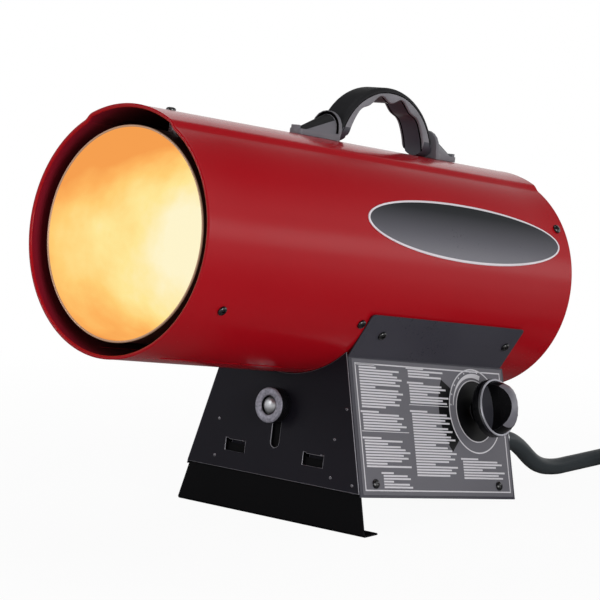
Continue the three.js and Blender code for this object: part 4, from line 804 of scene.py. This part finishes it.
def grip_section(thick):
    """Half a section, from the middle of the outer face to that of the inner one: across, depth, finish."""
    half, round_out, round_in = GRIP["width"] / 2, 4.0, 1.3
    points = [(0.0, 0.0, 0)]
    for i in range(7):
        a = math.pi / 2 * i / 6
        points.append((half - round_out * (1 - math.sin(a)), round_out * (1 - math.cos(a)), 0))
    points += [(half, 4.1, 3), (half - 0.7, 4.3, 3), (half - 0.7, 4.8, 3), (half, 5.0, 1)]
    for i in range(5):
        a = math.pi / 2 * i / 4
        points.append((half - round_in * (1 - math.cos(a)), thick - round_in * (1 - math.sin(a)), 1))
    low = thick - 1.1
    points += [(half - 2.2, thick, 3), (half - 2.5, low, 3), (half - 3.7, low, 3), (half - 4.0, thick, 2)]
    return points + [(0.0, thick, 2)]


def build_grip():
    """The arch: a loft of sections with a rubber strap outside, a side painted grey as painted light, a pad
    under the fingers painted darker as painted shade, and painted shade in its grooves.
    """
    steps, start = 260, math.radians(2)
    verts, faces, picks = [], [], []
    for i in range(steps + 1):
        a = start + (math.pi - 2 * start) * i / steps
        (yo, zo), (yi, zi) = grip_ends(a)
        way = Vector((0, yi - yo, zi - zo))
        thick = way.length
        way.normalize()
        half = grip_section(thick)
        around = half + [(-x, d, f) for x, d, f in half[-2:0:-1]]
        for x, d, _ in around:
            verts.append(Vector((x, HANDLE_Y + yo, GRIP["z"] + zo)) + way * d)
    n = len(around)
    finish = [f for _, _, f in half[:-1]]
    finish += finish[::-1]
    for i in range(steps):
        for j in range(n):
            k = (j + 1) % n
            faces.append((i * n + j, i * n + k, (i + 1) * n + k, (i + 1) * n + j))
            picks.append(finish[j])
    faces.append(tuple(range(n)))
    faces.append(tuple(reversed(range(steps * n, (steps + 1) * n))))
    picks += [1, 1]
    obj = make_object("grip", verts, faces, [GRIP_TOP_AND_RIB_SHADE, HANDLE_LIT_GREY, HANDLE_PAD_SHADE, PAINTED_GROOVE_SHADE], BODY, 40)
    assign(obj, picks)

    # The legs end in half rounds on the crown.
    heel, top = GRIP["width"] / 2, GRIP["z"] + GRIP["height"] + 5
    shoulder, wide = CROWN_TOP + heel, heel + 2
    tongue = arc(0, shoulder, heel + 0.02, -math.pi, 0, 24)
    tongue += [(wide, shoulder), (wide, top), (-wide, top), (-wide, shoulder)]
    reach = GRIP["half"] + 3
    # The cut leg ends take the pad's darker grey, a painted shade.
    cutter = prism("cutter", tongue, HANDLE_Y - reach, HANDLE_Y + reach, HANDLE_PAD_SHADE, BODY)
    boolean(obj, [cutter], "INTERSECT", 40)
    stand_for(obj, "handle_grip")


def build_bracket(node, side):
    """A bracket painted grey as painted light, with a recess round its upright plate painted black as painted
    shade, and its rib's top painted dark as painted shade.
    """
    obj = dress(node, BRACKET_LIT_GREY, 0.0009, 30, 3)
    plate_end = HANDLE_Y + side * (GRIP["half"] + 2.5)
    # The recess round the plate is painted black as painted shade.
    recess(obj, PAINTED_GROOVE_SHADE, 0.0006, 0.0008,
           lambda at, n: n.y * side > 0.95 and abs(at.y - plate_end) < 1.5 and at.z > CROWN_TOP + 5)
    # The rib's top takes the grip's dark finish as painted shade.
    paint(obj, GRIP_TOP_AND_RIB_SHADE, lambda at, n: (at.y - plate_end) * side > 0.5 and n.z > 0.45 and at.z > RIB_TOP)


build_grip()
build_bracket("handle_front_bracket", -1)
build_bracket("handle_rear_bracket", 1)

# ---------------------------------------------------------------- screws

SHELL_SCREWS = {  # degrees from the crown, along, lift from the shell
    "shell_screw_top": (0, 45.8, 0),
    "shell_screw_front_right": (120, 40.1, 0),
    "shell_screw_front_left": (-120, 40.1, 0),
    "shell_screw_middle_right": (120, 214, 0),
    "shell_screw_middle_left": (-120, 214, 0),
    "shell_screw_rear_right": (58, 482, 0),
    "shell_screw_rear_left": (-58, 482, 0),
    "shell_screw_rear_bottom": (180, 482, 0),
    "flange_screw_right_front": (125, 248, 1.3),
    "flange_screw_right_rear": (125, 427, 1.3),
    "flange_screw_left_front": (-125, 248, 1.3),
    "flange_screw_left_rear": (-125, 427, 1.3),
}
COVER_SCREWS = {"cover_screw_front": (246, 12), "cover_screw_rear": (424, 12)}  # along, up
HEAD_R, HEAD_RISE, SHANK_R = 4.2, 2.9, 1.9
CROSS_LONG, CROSS_WIDE, CROSS_FLOOR = 2.2, 0.45, 1.6


def build_screw(node, place):
    """A pan head with a cross recess."""
    angles = np.linspace(0, math.pi / 2, 8)[:-1]
    dome = [(HEAD_R * math.cos(a) ** 0.7, 0.9 + 2.0 * math.sin(a)) for a in angles]
    profile = [(0, -5), (SHANK_R, -5), (SHANK_R, 0.3), (HEAD_R, 0.3), *dome, (0, HEAD_RISE)]
    obj = lathe(node + "_head", profile, SCREW, place, 32, 40)
    cross = [
        boxes("cutter", [((-x, -y, CROSS_FLOOR), (x, y, 4))], SCREW, place)
        for x, y in ((CROSS_LONG, CROSS_WIDE), (CROSS_WIDE, CROSS_LONG))
    ]
    boolean(obj, cross)
    stand_for(obj, node)


for node, spot in SHELL_SCREWS.items():
    build_screw(node, on_shell(*spot))
for node, spot in COVER_SCREWS.items():
    build_screw(node, on_side(*spot))

# ---------------------------------------------------------------- base and leg

WIDE_FACE = 1.5e-4  # m2: larger faces of bent sheet stay flat

# The panels' eased edges take the pale finish, a painted highlight.
for node in ("side_cover", "left_panel", "front_panel", "rear_panel"):
    dress(node, COVER if node == "side_cover" else BLACK, 0.00045, 30, flat_area=WIDE_FACE, edge=EDGE_HIGHLIGHT)
dress("front_leg", LEG_BLACK, 0.0003, 30, flat_area=WIDE_FACE, edge=BLACK)
dress("clamp_knob", PLASTIC, 0.0005)
dress("clamp_knob_ring", RING, 0.0003)
dress("clamp_bolt", ZINC, 0.0, 60)
dress("clamp_nut", STEEL, 0.0003)

# Clinched spots on the front panel, as (across, up from the shell's axis).
CLINCHES = [(-68.0, -151.5), (-68.3, -184.5), (76.3, -124.6), (66.9, -151.8), (67.3, -184.6), (92.0, -187.7)]
DIMPLE = [(0, -0.2), (0.5, -0.2), (0.7, 0.3), (1.0, 0.35), (1.4, 0.05), (1.4, -0.5), (0, -0.5)]

for i, (x, z) in enumerate(CLINCHES):
    place = BODY @ Matrix.Translation((x, BASE_FRONT, z)) @ Matrix.Rotation(math.radians(90), 4, "X")
    trim_on(lathe(f"clinch_{i}", DIMPLE, CLINCH, place, 20, 50), "front_panel")

# ---------------------------------------------------------------- gas knob and label

SIDE = on_side(*DIAL)
WELL_LOW, WELL_TOP = 20, 24.5  # the scoops beside the knob's bar end between these heights
BAR_TOP = 35  # the bar's face above this gets a painted highlight
KNOB_LIP = [(24.0, 25.7), (24.4, 26.25), (25.5, 26.25), (26.1, 25.6), (24.0, 25.7)]


def build_knob():
    """The gas knob: black, with a painted dark-grey reflection in one scoop, painted highlights on the other
    scoop, on the bar's face and on the eased edges, and a pale lip.
    """
    knob = dress("gas_knob", KNOB, 0.0007, 30, 3, edge=KNOB_REFLECTION_GREY)
    paint(knob, KNOB_REFLECTION_GREY, lambda at, n: n.z > 0.9 and WELL_LOW < at.z < WELL_TOP and at.x < 0, SIDE)
    paint(knob, KNOB_HIGHLIGHT,
          lambda at, n: n.z > 0.3 and (at.z > BAR_TOP or at.x > 0 and WELL_LOW < at.z < WELL_TOP), SIDE)
    trim_on(lathe("knob_rim", KNOB_LIP, KNOB_RIM, SIDE), "gas_knob")


build_knob()

LABEL_ALONG, LABEL_UP = (228.5, 445.3), (2.5, 119.6)
SHEET_TOP, PRINT_LOW, PRINT_TOP = 0.24, 0.19, 0.3
RULE_BLOCKS = (  # along, width, top, bottom
    (234.5, 60.5, 116, 79),
    (234.5, 61.5, 75, 61),
    (234, 64, 52.4, 27),
    (255.5, 42, 22.4, 9.6),
    (302.5, 62, 115.5, 109),
    (302.5, 58, 102.6, 86),
    (303, 62, 77.5, 21.4),
    (371, 64, 36.7, 19.3),
)
UNDERLINES = ((234, 299, 57.6), (303, 359, 82.6))  # from, to, up
RULE_PITCH, RULE_THICK = 2.45, 1.55


def ruled(along, width, top, bottom):
    """Rows of plain rules of uneven lengths, the first one short."""
    rows = []
    count = round((top - bottom) / RULE_PITCH) + 1
    for i in range(count):
        share = 0.4 if i == 0 else 1 - 0.42 * ((i * 5 + count) % 7 == 0) - 0.05 * (i * 3 % 5)
        inset = 0 if i == 0 else 2.5
        y = top - i * RULE_PITCH
        rows.append(((along + inset, y - RULE_THICK, PRINT_LOW), (along + width * share, y, PRINT_TOP)))
    return rows


def build_label():
    """The label's sheet, with holes for the stem and the screws, and its border and rules."""
    flat = on_side(0, 0)
    sheet = boxes("label", [((LABEL_ALONG[0], LABEL_UP[0], 0.02), (LABEL_ALONG[1], LABEL_UP[1], SHEET_TOP))],
                  LABEL, flat)
    holes = [(DIAL, 6.2)] + [(spot, 2.4) for spot in COVER_SCREWS.values()]
    cutters = []
    for at, r in holes:
        cutters.append(lathe("cutter", [(0, -1), (r, -1), (r, 1), (0, 1)], LABEL, on_side(*at), 40))
    boolean(sheet, cutters)
    trim_on(sheet, "side_cover")

    inset, line = 3.4, 1.15
    x0, x1 = LABEL_ALONG[0] + inset, LABEL_ALONG[1] - inset
    y0, y1 = LABEL_UP[0] + inset, LABEL_UP[1] - inset
    flats = [(x0, y0, x1, y0 + line), (x0, y1 - line, x1, y1), (x0, y0 + line, x0 + line, y1 - line),
             (x1 - line, y0 + line, x1, y1 - line)]
    rules = [rule for rows in RULE_BLOCKS for rule in ruled(*rows)]
    lines = [(start, at - 0.6, end, at) for start, end, at in UNDERLINES]
    spans = [[((a, b, PRINT_LOW), (c, d, PRINT_TOP)) for a, b, c, d in group] for group in (flats, lines)]
    trim_on(boxes("label_rules", spans[0] + rules + spans[1], PRINT, flat), "side_cover")


DIAL_PRINTS_AND_SHADOWS = (  # name, inner and outer radius, start and end in degrees, top, finish, growth, steps
    # The first dark sector and the dark centre disc are the knob's painted shadow, not print.
    ("dial_shade", 38.6, 54.0, 150, 224, SHEET_TOP + 0.02, PAINTED_KNOB_SHADOW, 0.0, 48),
    ("dial_ring", 37.4, 38.6, 0, 360, PRINT_TOP, PRINT, 0.0, 120),
    ("dial_inner_ring", 27.6, 28.5, 0, 360, PRINT_TOP, PRINT, 0.0, 96),
    ("dial_centre_painted_shadow", 8.0, 27.6, 0, 360, PRINT_TOP - 0.02, PAINTED_KNOB_SHADOW, 0.0, 96),
    ("dial_scale", 32.0, 32.8, 172, 70, PRINT_TOP, PRINT, 1.9, 48),
)


def build_dial():
    """The rings, the growing arc and the ticks printed round the knob, and the knob's painted shadow under
    and beside it.
    """
    for name, inner, outer, start, end, top, finish, grow, steps in DIAL_PRINTS_AND_SHADOWS:
        start, end = math.radians(start), math.radians(end)
        band = sector(name, inner, outer, start, end, PRINT_LOW, top, finish, SIDE, grow, steps)
        trim_on(band, "side_cover")
    half = 0.018  # radians
    for i in range(7):
        a = math.radians(172 - 94 * i / 6)
        tick = sector(f"dial_tick_{i}", 35.2, 36.6, a - half, a + half, PRINT_LOW, PRINT_TOP, PRINT, SIDE,
                      steps=2)
        trim_on(tick, "side_cover")


build_label()
build_dial()

# ---------------------------------------------------------------- gas train, igniter, burner and fan

PLAIN_LOOKS = {  # node: finish, width of its eased edges in metres
    "valve_stem": (BRASS, 0.0002),
    "gas_valve": (BRASS, 0.0003),
    "gas_inlet": (BRASS, 0.0003),
    "gas_jet": (BRASS, 0.0003),
    "inlet_pipe": (BRASS, 0.0003),
    "burner_pipe": (BRASS, 0.0003),
    "igniter_body": (PLASTIC, 0.0003),
    "igniter_button": (RED_PLASTIC, 0.0003),
    "mains_gland": (PLASTIC, 0.0003),
    "hose_ferrule": (STEEL, 0.0003),
    "regulator": (ZINC, 0.0006),
    "tank_nut": (PLASTIC, 0.0006),
    "burner_plate": (SCORCHED, 0.0002),
    "flame_cup": (SCORCHED, 0.0002),
    "fan": (STEEL, 0.0),
    "motor_shaft": (STEEL, 0.0),
    "fan_motor": (BLACK, 0.0005),
    "motor_bracket": (STEEL, 0.0003),
    "rear_guard": (BLACK, 0.0003),
    "igniter_electrode": (CERAMIC, 0.0002),
    "thermocouple": (STEEL, 0.0002),
    "hi_limit_switch": (PLASTIC, 0.0003),
}

for node, (finish, width) in PLAIN_LOOKS.items():
    dress(node, finish, width)
for node in NODES:
    if node.startswith("chamber_strap"):
        dress(node, STEEL, 0.0002)

# ---------------------------------------------------------------- badge: a bare oval plate

BADGE_Y, BADGE_ANGLE, BADGE_HALF = (198.6, 478.0), math.radians(68), 27.4
BADGE_RINGS = (  # share of its size, lift from the shell, finish
    (1.0, 0.1, 1),
    (1.0, 0.8, 1),
    (0.985, 1.1, 1),
    (0.93, 1.1, 1),
    (0.92, 0.85, 0),
    (0.75, 0.85, 0),
    (0.5, 0.85, 0),
    (0.25, 0.85, 0),
)


def build_badge():
    """An oval bent round the shell, with a rim of even width."""
    n = 160
    verts, faces, picks = [], [], []
    middle, long_half = sum(BADGE_Y) / 2, (BADGE_Y[1] - BADGE_Y[0]) / 2
    for share, lift, _ in BADGE_RINGS:
        if share > 0.9:
            inset = (1 - share) * BADGE_HALF
            reach, height = long_half - inset, BADGE_HALF - inset
        else:
            reach, height = long_half * share, BADGE_HALF * share
        for i in range(n):
            t = 2 * math.pi * i / n
            angle = BADGE_ANGLE - height * math.sin(t) / SHELL_R
            r = SHELL_R + lift
            verts.append((r * math.sin(angle), middle + reach * math.cos(t), r * math.cos(angle)))
    r = SHELL_R + BADGE_RINGS[-1][1]
    verts.append((r * math.sin(BADGE_ANGLE), middle, r * math.cos(BADGE_ANGLE)))
    for k, (_, _, finish) in enumerate(BADGE_RINGS[:-1]):
        for i in range(n):
            j = (i + 1) % n
            faces.append((k * n + i, k * n + j, (k + 1) * n + j, (k + 1) * n + i))
            picks.append(finish)
    last = (len(BADGE_RINGS) - 1) * n
    for i in range(n):
        faces.append((last + i, last + (i + 1) % n, len(verts) - 1))
        picks.append(0)
    obj = make_object("badge_plate", verts, faces, [BADGE_GREY, BADGE_RIM], BODY, 40)
    assign(obj, picks)
    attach(obj, "chassis")


build_badge()

# ---------------------------------------------------------------- floor, backdrop and light

FLOOR_HALF, FLOOR_Z = 40.0, -0.0002
FLOOR_TONE, FLOOR_TONE_MIRRORED = 0.62, 0.3
WORLD_LIGHT, WORLD_SEEN = 0.35, 1.0
OVERHEAD_GLOOM = 0.9


def floor_material():
    """White to the camera, with the object's shadow; in polished pieces dim close by and white far off."""
    material = bpy.data.materials.new("pale_floor")
    f = Tree(material)
    rays = f.node("LightPath").outputs
    distance = f.node("VectorMath", operation="LENGTH")
    f.link(f.node("TexCoord").outputs["Object"], distance.inputs[0])
    away = distance.outputs["Value"]
    seen = f.math("MULTIPLY", rays["Is Camera Ray"], f.range(away, 0.3, 0.95, 0.95, 1.0))
    mirrored = f.math("MULTIPLY", f.range(away, 0.35, 1.3, 0.0, 1.0), rays["Is Glossy Ray"])

    diffuse = f.node("BsdfDiffuse")
    tone = f.range(rays["Is Glossy Ray"], 0.0, 1.0, FLOOR_TONE, FLOOR_TONE_MIRRORED)
    f.link(tone, diffuse.inputs["Color"])
    white = f.node("Emission")
    white.inputs["Color"].default_value = (1, 1, 1, 1)
    white.inputs["Strength"].default_value = 1.0
    mix = f.node("MixShader")
    f.link(f.math("MAXIMUM", seen, mirrored), mix.inputs[0])
    f.link(diffuse.outputs[0], mix.inputs[1])
    f.link(white.outputs[0], mix.inputs[2])
    f.link(mix.outputs[0], f.node("OutputMaterial").inputs[0])
    return material


def build_floor():
    h, z = FLOOR_HALF, FLOOR_Z
    mesh = bpy.data.meshes.new("floor")
    mesh.from_pydata([(-h, -h, z), (h, -h, z), (h, h, z), (-h, h, z)], [], [(0, 1, 2, 3)])
    mesh.materials.append(floor_material())
    floor = add_object("floor", mesh)


def area(name, place, target, size, power, size_y=None):
    """A soft lamp of a width and height in metres, turned to a target."""
    light = bpy.data.lights.new(name, "AREA")
    light.energy = power
    light.shape = "RECTANGLE"
    light.size = size
    light.size_y = size_y or size
    obj = add_object(name, light)
    obj.location = place
    obj.rotation_euler = (Vector(target) - Vector(place)).to_track_quat("-Z", "Y").to_euler()


def build_world():
    """A white backdrop that lights little and is dark overhead in polished pieces."""
    world = bpy.data.worlds.new("world")
    bpy.context.scene.world = world
    w = Tree(world)
    rays = w.node("LightPath").outputs
    direct = w.math("MAXIMUM", rays["Is Camera Ray"], rays["Is Glossy Ray"])
    seen = w.math("MAXIMUM", direct, rays["Is Transmission Ray"])
    level = w.range(seen, 0.0, 1.0, WORLD_LIGHT, WORLD_SEEN)
    split = w.node("SeparateXYZ")
    w.link(w.node("TexCoord").outputs["Generated"], split.inputs[0])
    gloom = w.range(split.outputs["Z"], 0.3, 0.52, 0.0, OVERHEAD_GLOOM)
    kept = w.math("SUBTRACT", 1.0, w.math("MULTIPLY", gloom, rays["Is Glossy Ray"]))
    background = w.node("Background")
    background.inputs["Color"].default_value = (1, 1, 1, 1)
    w.link(w.math("MULTIPLY", level, kept), background.inputs["Strength"])
    w.link(background.outputs[0], w.node("OutputWorld").inputs[0])


build_floor()
area("top_soft", (0.0, 0.2, 2.2), (0, 0, 0.25), 1.2, 9)
area("key_right", (2.3, -0.75, 0.5), (0, 0, 0.25), 1.1, 30)
area("front_left", (-1.1, -2.1, 1.1), (0, -0.05, 0.2), 0.7, 12)
area("back_right", (1.7, 2.0, 0.42), (0, 0, 0.25), 1.1, 3, size_y=0.5)
build_world()

bpy.context.scene.view_settings.view_transform = "Standard"
